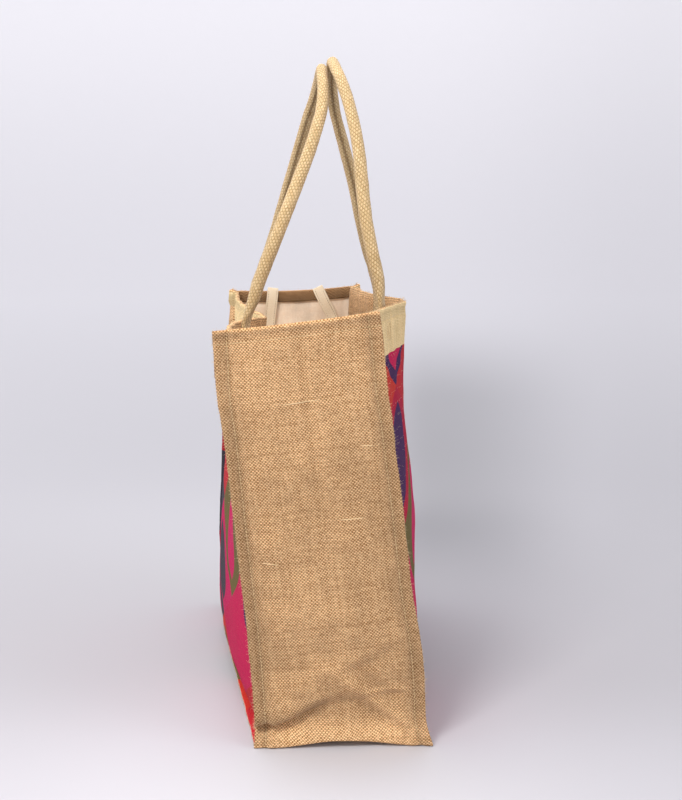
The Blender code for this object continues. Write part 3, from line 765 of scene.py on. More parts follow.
def make_panel(side, mats):
    grid, shares, keep, seam = PANELS[side]
    sign = -1.0 if side == "left" else 1.0
    columns = len(shares)
    count = len(STRIP)
    # hem rows on top of the panel
    rim, under = grid[0], grid[5]
    ups, inwards = [], []
    for i in range(columns):
        up = (rim[i] - under[i]).normalized()
        a, b = rim[max(i - 1, 0)], rim[min(i + 1, columns - 1)]
        run = (b - a).normalized()
        way = up.cross(run).normalized()
        if way.x * sign > 0:
            way = -way
        ups.append(up)
        inwards.append(way)
    lips = {}
    for n, end in ((0, "near"), (count - 1, "far")):
        lips[end] = -FRAMES[n][side][1]
    inwards[0] = inwards[1] + lips["near"]
    inwards[-1] = inwards[-2] + lips["far"]
    hem = hem_rows(rim, ups, inwards)
    for k in range(HEM_ROWS):
        for i in range(columns):
            down = PANEL_HEM * (1 - k / HEM_ROWS) + (0.0006 * ripple(rim[i].x, rim[i].y, 4.0, 0.02) if k == 0 else 0.0)
            j, at = 0, 0.0
            while at + (grid[j + 1][i] - grid[j][i]).length < down:
                at += (grid[j + 1][i] - grid[j][i]).length
                j += 1
            share = (down - at) / (grid[j + 1][i] - grid[j][i]).length
            hem[k][i] = grid[j][i].lerp(grid[j + 1][i], share) + inwards[i] * (HEM_GAP + 0.0006)
    for j in range(0, 16):
        for i in range(1, columns - 1):
            dent = rim_roll((rim[i] - grid[j][i]).length) if j else rim_roll(0.0)
            dent *= 0.85 + 0.5 * ripple(shares[i] * 0.4, 50.0 if side == "left" else 70.0, 0.0, 0.02)
            grid[j][i] = grid[j][i] - inwards[i] * dent
    full = hem + grid
    top = len(hem)
    points, uvs, weights, faces, kinds, shades = [], [], [], [], [], []
    drop = [0.0] * columns
    length = 0.405
    for j, line in enumerate(full):
        for i, p in enumerate(line):
            points.append(p)
            if j > top:
                drop[i] -= (p - full[j - 1][i]).length
            v = drop[i] if j >= top else (p - rim[i]).length
            uvs.append((shares[i] * length, v))
            weights.append(CLOTH if j >= top else 0.0011)
            # painted light and shade on each point: hem_shade on the hem, then painted shade under the rim and along
            # the seams at both ends, and a painted highlight on the rim
            if j < top:
                shades.append(hem_shade(j, 0.90))
            else:
                below = -drop[i]
                shade = 1.0 - 0.16 * bell(below - 0.0066, 0.0034) - 0.07 * bell(below - 0.0113, 0.0016)
                shade *= 1.0 + 0.20 * bell(below, 0.0016)
                near = min(shares[i], 1 - shares[i]) * length
                shades.append(shade * (1.0 - 0.30 * bell(near, 0.0040) - 0.10 * bell(near, 0.012)))
    for j in range(len(full) - 1):
        for i in range(columns - 1):
            a = j * columns + i
            faces.append((a, a + 1, a + columns + 1, a + columns))
            kinds.append(2 if j < top else 4 if j < top + 5 else 0)
    # the lip follows the same edge, hem rows included
    near_edge = [j * columns for j in range(len(full))]
    base_edge = [(len(full) - 1) * columns + i for i in range(1, columns)]
    far_edge = [j * columns + columns - 1 for j in range(len(full) - 2, -1, -1)]
    edge = near_edge + base_edge + far_edge
    rows = [0] * top + list(range(CORNER + 1)) + [CORNER + keep[i] for i in range(1, columns)] + \
        list(range(count - CORNER, count)) + [count - 1] * top
    assert len(rows) == len(edge), (len(rows), len(edge))
    outs = (0.0016, 0.0036, 0.0060, 0.0082, 0.0096, FLANGE)
    previous = edge
    ring_in = []
    for out in outs:
        ring = []
        for m, (inner, n) in enumerate(zip(edge, rows)):
            step = seam[n][1]
            p = lip_point(n, side, out, step)
            if m < top or m >= len(edge) - top:
                # turned hem of the lip: same offset as the panel's own
                flat = points[edge[top]] if m < top else points[edge[-top - 1]]
                base = lip_point(0 if m < top else count - 1, side, out, step)
                rise = points[inner] - flat
                _, inward, turned, _ = FRAMES[0 if m < top else count - 1][side]
                way = -inward.lerp(turned, smooth(0.0, 0.004, out)).normalized()
                deep = rise.dot(lips["near"] if m < top else lips["far"])
                p = base + way * deep + Vector((0, 0, rise.z))
            ring.append(len(points))
            points.append(p)
            u, v = uvs[inner]
            if m < len(near_edge):
                uv = (u - out, v)
            elif m < len(near_edge) + len(base_edge):
                uv = (u, v - out)
            else:
                uv = (u + out, v)
            uvs.append(uv)
            hemmed = m < top or m >= len(edge) - top
            weights.append(0.0011 if hemmed else CLOTH + (EDGE - CLOTH) * smooth(0.3, 1.0, out / FLANGE))
            # the lip takes the panel's painted light and shade, with a painted highlight towards its turned edge
            shades.append(shades[inner] * (1 + 0.25 * smooth(0.0, 0.005, out)))
        for m in range(len(edge) - 1):
            faces.append((previous[m], previous[m + 1], ring[m + 1], ring[m]))
            kinds.append(2 if m < top or m >= len(edge) - top - 1 else 0)
        previous = ring
    probe = (top + 60) * (columns - 1) + columns // 2
    out = [(grid[9][i], -inwards[i]) for i in range(columns)]
    within = [(hem[1][i], inwards[i]) for i in range(1, columns - 1)]
    return make_shell("panel_cloth_" + side, points, faces, uvs, weights, kinds, shades, probe,
                      (sign, 0, 0), mats), out, within


def panel_place(side, share, drop):
    """A point on a panel's outer face at a share of its length and a drop
    below the rim: point, run toward the far end, way up, way inward."""
    grid, shares, _, _ = PANELS[side]
    i = max(k for k in range(len(shares) - 1) if shares[k] <= share)
    u = (share - shares[i]) / (shares[i + 1] - shares[i])

    def at(j):
        return grid[j][i].lerp(grid[j][i + 1], u)
    j = 0
    while j < len(grid) - 2 and (at(0) - at(j + 1)).length < drop:
        j += 1
    a, b = at(j), at(j + 1)
    v = (drop - (at(0) - a).length) / max((b - a).length, 1e-6)
    low, high = max(i - 2, 0), min(i + 3, len(shares) - 1)
    run = (grid[j][high] - grid[j][low]).normalized()
    up = (at(max(j - 2, 0)) - at(j + 3)).normalized()
    inward = up.cross(run).normalized()
    if inward.x * (1 if side == "left" else -1) < 0:
        inward = -inward
    return a.lerp(b, v), run, up, inward


# ================================================================ handles

def handle_sections(side):
    knots = [Vector(p) for p in HANDLES[side]]
    feet = []
    for share in FOOT_SHARE[side]:
        foot = []
        for drop in (FOOT_LENGTH, 0.66 * FOOT_LENGTH, 0.33 * FOOT_LENGTH, 0.0005):
            place, run, up, inward = panel_place(side, share, drop)
            foot.append((place + inward * (HEM_GAP + 0.0006 + FOOT_HALF[1]), inward))
        feet.append(foot)
    near, far = feet
    centres = [c for c, _ in near] + knots + [c for c, _ in reversed(far)]
    deeps = [w for _, w in near] + [None] * len(knots) + [w for _, w in reversed(far)]
    flat = (FOOT_HALF[0], FOOT_HALF[1], 0.50)
    sizes = [flat] * 3 + [(0.0096, 0.0030, 0.60)]
    sizes += [(0.0074, 0.0062, 0.90)]
    for k in range(1, len(knots) - 1):
        down = min(abs(2 * k / (len(knots) - 1) - 1) / 0.6, 1.0)
        radius = HANDLE_R[0] + (HANDLE_R[1] - HANDLE_R[0]) * down * down
        sizes.append((radius, radius, 1.0))
    sizes += [(0.0074, 0.0062, 0.90)] + [(0.0096, 0.0030, 0.60)] + [flat] * 3
    steps = 18
    line = smooth_line(centres, steps)
    count = len(centres)
    sections, run = [], 0.0
    for n, centre in enumerate(line):
        k = min(n // steps, count - 2)
        u = n / steps - k
        before, after = line[max(n - 1, 0)], line[min(n + 1, len(line) - 1)]
        along = (after - before).normalized()
        pull = Vector((1.0 if side == "left" else -1.0, 0, 0))
        a = deeps[k] if deeps[k] is not None else pull
        b = deeps[k + 1] if deeps[k + 1] is not None else pull
        deep = a.lerp(b, u)
        deep = (deep - along * deep.dot(along)).normalized()
        wide = along.cross(deep).normalized()
        e = u * u * (3 - 2 * u)
        size = [sizes[k][m] + (sizes[k + 1][m] - sizes[k][m]) * e for m in range(3)]
        if n:
            run += (centre - line[n - 1]).length
        sections.append((centre, along, wide, deep, size, run))
    return sections


def tube_shape(section, k, sides, side):
    """Point and outward way of one corner of a handle's section."""
    centre, along, wide, deep, size, run = section
    angle = 2 * math.pi * k / sides
    c, s = math.cos(angle), math.sin(angle)
    c2 = math.copysign(abs(c) ** size[2], c)
    s2 = math.copysign(abs(s) ** size[2], s)
    out = wide * (size[0] * c2) + deep * (size[1] * s2)
    way = out.normalized()
    phase = 80.0 if side == "left" else 90.0
    round_part = smooth(0.0032, 0.0054, size[1])
    lump = 0.00045 * ripple(run, phase + 2 * c, 2 * s, 0.016) + 0.00022 * ripple(run, phase + 9 * c, 9 * s, 0.006)
    return centre + out + way * lump * (0.3 + 0.7 * round_part), way


def inner_angle(section):
    """The angle that faces the inside of the loop."""
    centre, along, wide, deep, size, run = section
    middle = Vector((0.0, -0.022, 0.52))
    way = middle - centre
    return math.atan2(way.dot(deep) / 1.0, way.dot(wide))


def make_handle(side, mats):
    sections = handle_sections(side)
    sides = 36
    points, faces, uvs, kinds = [], [], [], []
    shades = []
    girth = 0.050  # the braid repeats 20 times round it
    for section in sections:
        centre, along, wide, deep, size, run = section
        seam = 0.0 if (Vector((0.0, -0.022, 0.5)) - centre).dot(wide) > 0 else math.pi
        round_part = smooth(0.0032, 0.0054, size[1])
        for k in range(sides + 1):
            p, way = tube_shape(section, k, sides, side)
            angle = 2 * math.pi * k / sides
            gap = math.atan2(math.sin(angle - seam), math.cos(angle - seam))
            # two rolled edges meet in the seam inside the loop
            p = p - way * 0.0013 * bell(gap, 0.13) * round_part
            p = p + way * 0.0006 * (bell(gap - 0.36, 0.17) + bell(gap + 0.36, 0.17)) * round_part
            points.append(p)
            uvs.append((girth * k / sides, run))
            # painted shade in the seam and on the side that faces the inside of the loop, and darker towards the feet
            shades.append((1.0 - 0.38 * bell(gap, 0.24) - 0.32 * bell(gap, 1.15) * round_part)
                          * (1.0 - 0.12 * smooth(0.54, 0.43, centre.z)))
    wide_row = sides + 1
    for j in range(len(sections) - 1):
        for k in range(sides):
            a = j * wide_row + k
            faces.append((a, a + 1, a + 1 + wide_row, a + wide_row))
            kinds.append(0)
    # close the two ends
    for j, order in ((0, 1), (len(sections) - 1, -1)):
        centre = sections[j][0]
        c = len(points)
        points.append(centre)
        uvs.append((girth / 2, sections[j][5]))
        shades.append(0.7)
        for k in range(sides):
            a = j * wide_row + k
            faces.append((a + 1, a, c) if order > 0 else (a, a + 1, c))
            kinds.append(0)
    thing = new_object("handle_pad_" + side, points, faces, mats, uvs, kinds, shades=shades)
    work = bmesh.new()
    work.from_mesh(thing.data)
    bmesh.ops.remove_doubles(work, verts=work.verts[:], dist=0.00002)
    bmesh.ops.recalc_face_normals(work, faces=work.faces[:])
    work.to_mesh(thing.data)
    work.free()
    return thing, sections


# ================================================================ ties

def far_face(x, z):
    """y of the inside of the far end."""
    rows = [n for n, (end, k) in enumerate(STRIP_INFO) if end == "far" and k <= WALL_ROWS]
    best = min(rows, key=lambda n: abs(STRIP[n][HALF].z - z))
    line = STRIP[best]
    i = min(range(len(line)), key=lambda m: abs(line[m].x - x))
    return line[i].y - CLOTH


def make_tie(side, mats):
    knots = [Vector((x, far_face(x, min(z, 0.415)) - 0.0034 - TIE_HALF[1], z)) for x, z in TIES[side]]
    line = smooth_line(knots, 12)
    points, faces, uvs = [], [], []
    sides = 20
    run = 0.0
    for n, centre in enumerate(line):
        before, after = line[max(n - 1, 0)], line[min(n + 1, len(line) - 1)]
        along = (after - before).normalized()
        deep = Vector((0, 1, 0))
        deep = (deep - along * deep.dot(along)).normalized()
        wide = along.cross(deep).normalized()
        if n:
            run += (centre - line[n - 1]).length
        total = len(line) - 1
        end = 1 - 0.35 * smooth(3, 0, min(n, total - n))
        for k in range(sides):
            angle = 2 * math.pi * k / sides
            c, s = math.cos(angle), math.sin(angle)
            c2, s2 = math.copysign(abs(c) ** 0.45, c), math.copysign(abs(s) ** 0.45, s)
            crown = 0.0005 * (bell(c2 - 0.72, 0.12) + bell(c2 + 0.72, 0.12)) * (1 if s < 0 else 0)
            points.append(centre + wide * (TIE_HALF[0] * c2 * (1 - 0.15 * (1 - end)))
                          + deep * (TIE_HALF[1] * s2 * end + crown))
            uvs.append((TIE_HALF[0] * c2 + (0.03 if s > 0 else 0.0), run))
    for j in range(len(line) - 1):
        for k in range(sides):
            a, b = j * sides + k, j * sides + (k + 1) % sides
            faces.append((a, b, b + sides, a + sides))
    faces.append(tuple(range(sides)))
    faces.append(tuple(reversed(range(len(points) - sides, len(points)))))
    thing = new_object("tie_strap_" + side, points, faces, mats, uvs)
    work = bmesh.new()
    work.from_mesh(thing.data)
    bmesh.ops.recalc_face_normals(work, faces=work.faces[:])
    work.to_mesh(thing.data)
    work.free()
    return thing, line


# ================================================================ materials

class Wire:
    """One output of a shading node, with arithmetic."""

    def __init__(self, book, socket):
        self.book, self.socket = book, socket

    def __add__(self, other):
        return self.book.math("ADD", self, other)

    def __sub__(self, other):
        return self.book.math("SUBTRACT", self, other)

    def __rsub__(self, other):
        return self.book.math("SUBTRACT", other, self)

    def __mul__(self, other):
        return self.book.math("MULTIPLY", self, other)

    def __truediv__(self, other):
        return self.book.math("DIVIDE", self, other)

    __radd__, __rmul__ = __add__, __mul__


class Book:
    """A material while its nodes are being written."""

    def __init__(self, name, rough, sheen=0.0, coat=0.0, specular=0.3):
        self.mat = bpy.data.materials.new(name)
        self.mat.use_nodes = True
        self.nodes = self.mat.node_tree.nodes
        self.links = self.mat.node_tree.links
        self.shader = self.nodes["Principled BSDF"]
        plain_values = {"Roughness": rough, "Sheen Weight": sheen, "Sheen Roughness": 0.5,
                        "Coat Weight": coat, "Coat Roughness": 0.25, "Specular IOR Level": specular}
        for socket, value in plain_values.items():
            self.shader.inputs[socket].default_value = value

    def feed(self, socket, value):
        if isinstance(value, Wire):
            self.links.new(value.socket, socket)
        else:
            socket.default_value = value

    def node(self, kind, **settings):
        made = self.nodes.new("ShaderNode" + kind)
        for key, value in settings.items():
            setattr(made, key, value)
        return made

    def math(self, kind, *values, clamp=False):
        made = self.node("Math", operation=kind, use_clamp=clamp)
        for n, value in enumerate(values):
            self.feed(made.inputs[n], value)
        return Wire(self, made.outputs[0])

    def uv(self):
        source = self.node("UVMap", uv_map="cloth")
        split = self.node("SeparateXYZ")
        self.links.new(source.outputs[0], split.inputs[0])
        return Wire(self, split.outputs[0]), Wire(self, split.outputs[1])

    def shade(self):
        # the shade attribute: painted light and shade stored on the points of the cloth and the handles
        made = self.node("Attribute", attribute_name="shade")
        return Wire(self, made.outputs["Fac"])

    def join(self, x, y, z=0.0):
        made = self.node("CombineXYZ")
        for n, value in enumerate((x, y, z)):
            self.feed(made.inputs[n], value)
        return Wire(self, made.outputs[0])

    def noise(self, place, scale, detail=0.0, rough=0.5):
        made = self.node("TexNoise")
        self.feed(made.inputs["Vector"], place)
        made.inputs["Scale"].default_value = scale
        made.inputs["Detail"].default_value = detail
        made.inputs["Roughness"].default_value = rough
        return Wire(self, made.outputs[0])

    def white(self, place):
        made = self.node("TexWhiteNoise")
        self.feed(made.inputs["Vector"], place)
        return Wire(self, made.outputs[0])

    def ramp(self, value, stops, kind="LINEAR"):
        made = self.node("ValToRGB")
        made.color_ramp.interpolation = kind
        points = made.color_ramp.elements
        while len(points) < len(stops):
            points.new(0.5)
        for point, (at, colour) in zip(points, stops):
            point.position = at
            point.color = (*colour, 1.0)
        self.feed(made.inputs[0], value)
        return Wire(self, made.outputs[0])

    def range(self, value, low, high, to_low=0.0, to_high=1.0):
        made = self.node("MapRange", interpolation_type="SMOOTHSTEP")
        for n, v in enumerate((value, low, high, to_low, to_high)):
            self.feed(made.inputs[n], v)
        return Wire(self, made.outputs[0])

    def mix(self, share, a, b, kind="MIX"):
        made = self.node("Mix", data_type="RGBA", blend_type=kind)
        for n, v in ((0, share), (6, a), (7, b)):
            if isinstance(v, tuple):
                v = (*v, 1.0)
            self.feed(made.inputs[n], v)
        return Wire(self, made.outputs[2])

    def grey(self, value):
        """A number as a colour."""
        made = self.node("CombineColor")
        for n in range(3):
            self.feed(made.inputs[n], value)
        return Wire(self, made.outputs[0])

    def finish(self, colour, height, distance, strength=1.0, rough=None):
        self.feed(self.shader.inputs["Base Color"], colour)
        if rough is not None:
            self.feed(self.shader.inputs["Roughness"], rough)
        made = self.node("Bump")
        made.inputs["Strength"].default_value = strength
        made.inputs["Distance"].default_value = distance
        self.feed(made.inputs["Height"], height)
        self.links.new(made.outputs[0], self.shader.inputs["Normal"])
        return self.mat


def weave(book, u, v, pitch, loose=0.8, uneven=0.13, fibre=0.16):
    """Plain weave of uneven yarns. Gives its height, a tone from 0 to 1 for
    the yarn that lies on top, its fibres, 1 where there is yarn and 0 in a
    gap, and 1 where the yarn on top runs along v."""
    place = book.join(u, v, 0.0)
    if loose:
        wide = (book.noise(place, 0.055 / pitch, 1.0) - 0.5) * (2 * loose)
        wide2 = (book.noise(book.join(v, u, 0.7), 0.055 / pitch, 1.0) - 0.5) * (2 * loose)
    else:
        wide = wide2 = 0.0
    a, b = u / pitch + wide, v / pitch + wide2
    i, j = book.math("FLOOR", a), book.math("FLOOR", b)
    fa, fb = a - i - 0.5, b - j - 0.5
    # each yarn swells and thins along its length
    wa = book.noise(book.join(i * 7.31, b * 0.13, 2.0), 1.0, 1.0) * (2 * uneven) + (0.47 - uneven)
    wb = book.noise(book.join(a * 0.13, j * 7.31, 9.0), 1.0, 1.0) * (2 * uneven) + (0.47 - uneven)
    ra, rb = fa / wa, fb / wb
    pa = book.math("SQRT", book.math("MAXIMUM", 1.0 - ra * ra, 0.0))
    pb = book.math("SQRT", book.math("MAXIMUM", 1.0 - rb * rb, 0.0))
    up = book.math("SINE", (b + i) * math.pi) * 0.5 + 0.5
    down = book.math("SINE", (a + j) * math.pi) * -0.5 + 0.5
    ha, hb = pa * (up * 0.66 + 0.34), pb * (down * 0.66 + 0.34)
    height = book.math("MAXIMUM", ha, hb)
    first = book.math("GREATER_THAN", ha, hb)
    tone_a = book.white(book.join(i, 3.0, 0.0))
    tone_b = book.white(book.join(8.0, j, 1.0))
    tone = (tone_b + (tone_a - tone_b) * first) * 0.5 + book.white(book.join(i, j, 5.0)) * 0.5
    # twisted fibres run slantwise on each yarn
    hair_a = book.noise(book.join(fa * 5.0 + i * 3.7, b * 1.9 + fa * 1.6, 4.0), 1.0, 2.0, 0.7)
    hair_b = book.noise(book.join(a * 1.9 - fb * 1.6, fb * 5.0 + j * 3.7, 6.0), 1.0, 2.0, 0.7)
    hair = hair_b + (hair_a - hair_b) * first
    cover = book.range(height, 0.10, 0.62)
    return height + (hair - 0.5) * fibre, tone, hair, cover, first


def burlap_colours(book, cloth, u, v, pale, dark, gap, blotch=0.16):
    """Colour of bare burlap, with painted shade: the yarns along v lie deeper and are painted darker."""
    height, tone, hair, cover, first = cloth
    place = book.join(u, v, 0.0)
    cloud = book.noise(place, 14.0, 2.0) * 0.6 + book.noise(place, 55.0, 1.0) * 0.4
    middle = book.noise(place, 230.0, 2.0, 0.65)
    # long streaks of thicker and thinner yarns, both ways
    streak = book.noise(book.join(u * 14.0, v * 520.0, 1.0), 1.0, 1.0) * 0.55 + \
        book.noise(book.join(u * 520.0, v * 14.0, 2.0), 1.0, 1.0) * 0.45
    mixed = book.mix(book.math("ADD", (tone - 0.5) * 0.46 + (hair - 0.5) * 0.85 - (first - 0.5) * 0.74 + 0.50,
                               (middle - 0.5) * 0.75 + (streak - 0.5) * 0.60, clamp=True), dark, pale)
    mixed = book.mix(1.0, mixed, book.grey((cloud - 0.5) * (2.4 * blotch) + 1.0), "MULTIPLY")
    # stray dark husks
    speck = book.range(book.noise(book.join(u * 1.0, v * 2.2, 5.0), 330.0, 1.0), 0.70, 0.76)
    mixed = book.mix(speck * 0.45, mixed, (dark[0] * 0.45, dark[1] * 0.4, dark[2] * 0.35))
    # painted shade in the gaps between the yarns, then the painted light and shade of the shade attribute
    return book.mix(1.0, book.mix(cover, gap, mixed), book.grey(book.shade()), "MULTIPLY")


def burlap_material(name, pale=(0.965, 0.634, 0.340), dark=(0.285, 0.127, 0.034)):
    book = Book(name, 0.86, sheen=0.06, specular=0.22)
    u, v = book.uv()
    cloth = weave(book, u, v, 0.00166)
    colour = burlap_colours(book, cloth, u, v, pale, dark, (0.050, 0.017, 0.004), 0.27)
    return book.finish(colour, cloth[0], 0.00046)


def film_material():
    """The film laminated on the inner face, with the weave showing through."""
    book = Book("inner_film", 0.38, coat=0.5, specular=0.5)
    u, v = book.uv()
    height, tone, hair, cover, first = weave(book, u, v, 0.00166)
    place = book.join(u, v, 0.0)
    cloud = book.noise(place, 26.0, 3.0)
    colour = book.mix(cover * 0.6 + tone * 0.35, (0.80, 0.575, 0.380), (1.00, 0.860, 0.700))
    # soft folds of the film: bumped, and also painted lighter and darker as painted light and shade
    fold = book.noise(book.join(u * 70.0, v * 22.0, 2.0), 1.0, 2.0)
    colour = book.mix(1.0, colour, book.grey((cloud - 0.5) * 0.70 + (fold - 0.5) * 0.55 + 1.00), "MULTIPLY")
    wrinkle = book.noise(place, 60.0, 3.0, 0.6) * 0.6 + fold * 0.6
    rough = book.range(cloud, 0.3, 0.7, 0.28, 0.50)
    return book.finish(colour, height * 0.35 + wrinkle * 3.4, 0.0005, rough=rough)


INKS = ((0.540, 0.005, 0.080), (0.500, 0.014, 0.030), (0.050, 0.010, 0.085),
        (0.560, 0.030, 0.022), (0.052, 0.044, 0.064), (0.430, 0.003, 0.040),
        (0.560, 0.008, 0.105), (0.140, 0.108, 0.034))


def print_material():
    """Burlap with a printed field: a plain band at the rim, then large
    slanting lozenges, some of them with a broad leaf."""
    book = Book("printed_weave", 0.86, specular=0.16)
    u, v = book.uv()
    cloth = weave(book, u, v, 0.00166)
    height, tone, hair, cover, first = cloth
    bare = burlap_colours(book, cloth, u, v,
                          (1.000, 0.800, 0.450), (0.730, 0.505, 0.232), (0.170, 0.100, 0.034), 0.14)
    # upright streaks in the plain band
    streak = book.noise(book.join(u * 300.0, v * 9.0, 3.0), 1.0, 2.0)
    bare = book.mix(1.0, bare, book.grey((streak - 0.5) * 0.5 + 1.0), "MULTIPLY")
    sway = book.math("SINE", v * 21.0 + 1.1) * 0.16
    sway2 = book.math("SINE", u * 17.0 + 0.4) * 0.20
    a = (u * 0.62 + v * 0.70) / 0.122 + sway
    b = (v * 0.90 - u * 0.30) / 0.098 + sway2
    ia, ib = book.math("FLOOR", a), book.math("FLOOR", b)
    pick = book.white(book.join(ia, ib, 2.0))
    count = len(INKS)
    ink = book.ramp(pick, [(n / count, c) for n, c in enumerate(INKS)], "CONSTANT")
    # a broad leaf inside some of the lozenges
    ca, cb = a - ia - 0.5, b - ib - 0.5
    across = ca - cb
    along = ca + cb
    leaf = book.math("SUBTRACT", 0.42 - along * along * 0.80, book.math("ABSOLUTE", across) * 1.0)
    leaf = book.range(leaf, 0.0, 0.008) * book.math("GREATER_THAN", book.white(book.join(ib, ia, 7.0)), 0.62)
    pick2 = book.white(book.join(ia, ib, 11.0))
    ink2 = book.ramp(pick2, [(n / count, INKS[(n + 2) % count]) for n in range(count)], "CONSTANT")
    ink = book.mix(leaf, ink, ink2)
    shade = (tone - 0.5) * 0.20 + (hair - 0.5) * 0.45 + 1.0
    ink = book.mix(1.0, ink, book.grey(shade), "MULTIPLY")
    # in the gaps the ink takes the painted shade of the bare cloth
    ink = book.mix(cover, book.mix(0.60, bare, ink, "MULTIPLY"), ink)
    # the ink misses a few deep spots
    miss = book.range(book.noise(book.join(u, v, 3.0), 420.0, 1.0), 0.68, 0.76)
    edge = book.range(v + (book.noise(book.join(u, v, 1.0), 260.0, 1.0) - 0.5) * 0.0016, -0.0486, -0.0480)
    share = (1.0 - edge) * (1.0 - miss * 0.12)
    # painted light and shade from the shade attribute
    ink = book.mix(1.0, ink, book.grey(book.shade()), "MULTIPLY")
    colour = book.mix(share, bare, ink)
    return book.finish(colour, height, 0.00042)


def webbing_material(name, pitch, pale, dark, gap, slant, deep, sheen=0.2):
    """Braided or woven tape. The yarns run slantwise when slant is set."""
    book = Book(name, 0.74, sheen=sheen, specular=0.3)
    u, v = book.uv()
    a, b = (u + v, (u - v) * 0.5) if slant else (u, v)
    height, tone, hair, cover, first = weave(book, a, b, pitch, 0.0 if slant else 0.35, 0.08, 0.22)
    place = book.join(u, v, 0.0)
    cloud = book.noise(place, 32.0, 2.0)
    colour = book.mix(book.math("ADD", tone * 0.5 + (hair - 0.5) * 1.2, 0.42 - first * 0.50, clamp=True), dark, pale)
    colour = book.mix(1.0, colour, book.grey((cloud - 0.5) * 0.30 + 1.0), "MULTIPLY")
    # painted shade in the gaps between the yarns
    colour = book.mix(cover, gap, colour)
    # on the handles, painted shade from the shade attribute inside the loops
    if slant:
        colour = book.mix(1.0, colour, book.grey(book.shade()), "MULTIPLY")
    return book.finish(colour, height, deep)


def thread_material(name, pale, dark):
    book = Book(name, 0.62, sheen=0.2, specular=0.35)
    made = book.node("TexCoord")
    place = Wire(book, made.outputs["Object"])
    grain = book.noise(place, 2400.0, 2.0, 0.6)
    colour = book.mix(book.range(grain, 0.32, 0.68), dark, pale)
    return book.finish(colour, grain, 0.00012)


BURLAP = burlap_material("burlap_weave")
# the gusset's hems: a darker, browner copy of the burlap, painted shade and painted bounce light for hems that sit in
# shadow
HEM_BURLAP_PAINTED_SHADE = burlap_material("burlap_hem_painted_shade", (0.94, 0.570, 0.285), (0.275, 0.112, 0.028))
FILM = film_material()
PRINT = print_material()
BRAID = webbing_material("handle_braid", 0.050 / 20, (0.960, 0.745, 0.430), (0.520, 0.315, 0.115),
                         (0.110, 0.046, 0.010), True, 0.00085)
TAPE = webbing_material("tie_tape", 0.00125, (1.00, 0.91, 0.73), (0.92, 0.74, 0.51),
                        (0.26, 0.14, 0.060), False, 0.00034)
THREAD = thread_material("stitch_thread", (0.86, 0.66, 0.38), (0.58, 0.38, 0.17))
DARK_THREAD = thread_material("handle_thread", (0.42, 0.25, 0.10), (0.20, 0.105, 0.04))
FIBRE = thread_material("loose_fibre", (0.95, 0.74, 0.44), (0.66, 0.44, 0.22))


# ================================================================ stitches and fibres

def walk(line, pitch):
    """Places along a line of points and ways out, a pitch apart."""
    spots = []
    at = pitch / 2
    for (a, wa), (b, wb) in zip(line, line[1:]):
        gap = (b - a).length
        while gap > 1e-7 and at < gap:
            u = at / gap
            spots.append((a.lerp(b, u), (b - a).normalized(), wa.lerp(wb, u).normalized()))
            at += pitch
        at -= gap
    return spots


def add_tube(points, faces, path, radii, sides, out):
    """A small closed tube along a path."""
    first = len(points)
    rows = len(path)
    for n in range(rows):
        along = (path[min(n + 1, rows - 1)] - path[max(n - 1, 0)]).normalized()
        deep = out - along * out.dot(along)
        if deep.length < 1e-6:
            deep = along.orthogonal()
        deep.normalize()
        wide = along.cross(deep)
        for k in range(sides):
            angle = 2 * math.pi * (k + 0.5) / sides
            points.append(path[n] + (wide * math.cos(angle) + deep * math.sin(angle)) * radii[n])
    for n in range(rows - 1):
        for k in range(sides):
            a, b = first + n * sides + k, first + n * sides + (k + 1) % sides
            faces.append((b, a, a + sides, b + sides))
    faces.append(tuple(first + k for k in range(sides)))
    faces.append(tuple(first + (rows - 1) * sides + k for k in reversed(range(sides))))


def make_stitches(name, lines, mat, pitch=0.0037, length=0.0027, radius=0.00036):
    points, faces = [], []
    chance = random.Random(name)
    for line in lines:
        for spot, along, out in walk(line, pitch):
            half = length / 2 * chance.uniform(0.88, 1.10)
            side = along.cross(out) * chance.uniform(-0.00018, 0.00018)
            path = [spot - along * half - side - out * radius * 0.9,
                    spot - along * half * 0.55 - side * 0.5 + out * radius * 0.35,
                    spot + along * half * 0.55 + side * 0.5 + out * radius * 0.35,
                    spot + along * half + side - out * radius * 0.9]
            add_tube(points, faces, path, (radius * 0.7, radius, radius, radius * 0.7), 6, out)
    return new_object(name, points, faces, [mat])


def make_fibres(name, spots, mat, count, longest=0.0034, slubs=()):
    """Loose hairs that stand off a cloth, and a few thick slubs that lie on it."""
    points, faces = [], []
    chance = random.Random(name)
    for _ in range(count):
        spot, out = chance.choice(spots)
        way = Vector([chance.gauss(0, 1) for _ in range(3)])
        way = (way.normalized() * 0.9 + out).normalized()
        bend = Vector([chance.gauss(0, 1) for _ in range(3)]).normalized()
        long = longest * chance.uniform(0.3, 1.0) ** 1.3
        path = [spot - out * 0.0002, spot + way * long * 0.4 + bend * long * 0.08,
                spot + way * long * 0.72 + bend * long * 0.28, spot + way * long * 0.9 + bend * long * 0.62]
        thick = chance.uniform(0.00005, 0.000085)
        add_tube(points, faces, path, (thick, thick, thick * 0.8, thick * 0.4), 3, out)
    for path, out in slubs:
        last = len(path) - 1
        radii = [0.00052 * (0.25 + 0.75 * math.sin(math.pi * (0.06 + 0.88 * n / last)) ** 0.6) for n in range(last + 1)]
        add_tube(points, faces, path, radii, 6, out)
    return new_object(name, points, faces, [mat])


def face_spots(rows, out_of):
    return [(p, out_of) for line in rows for p in line]


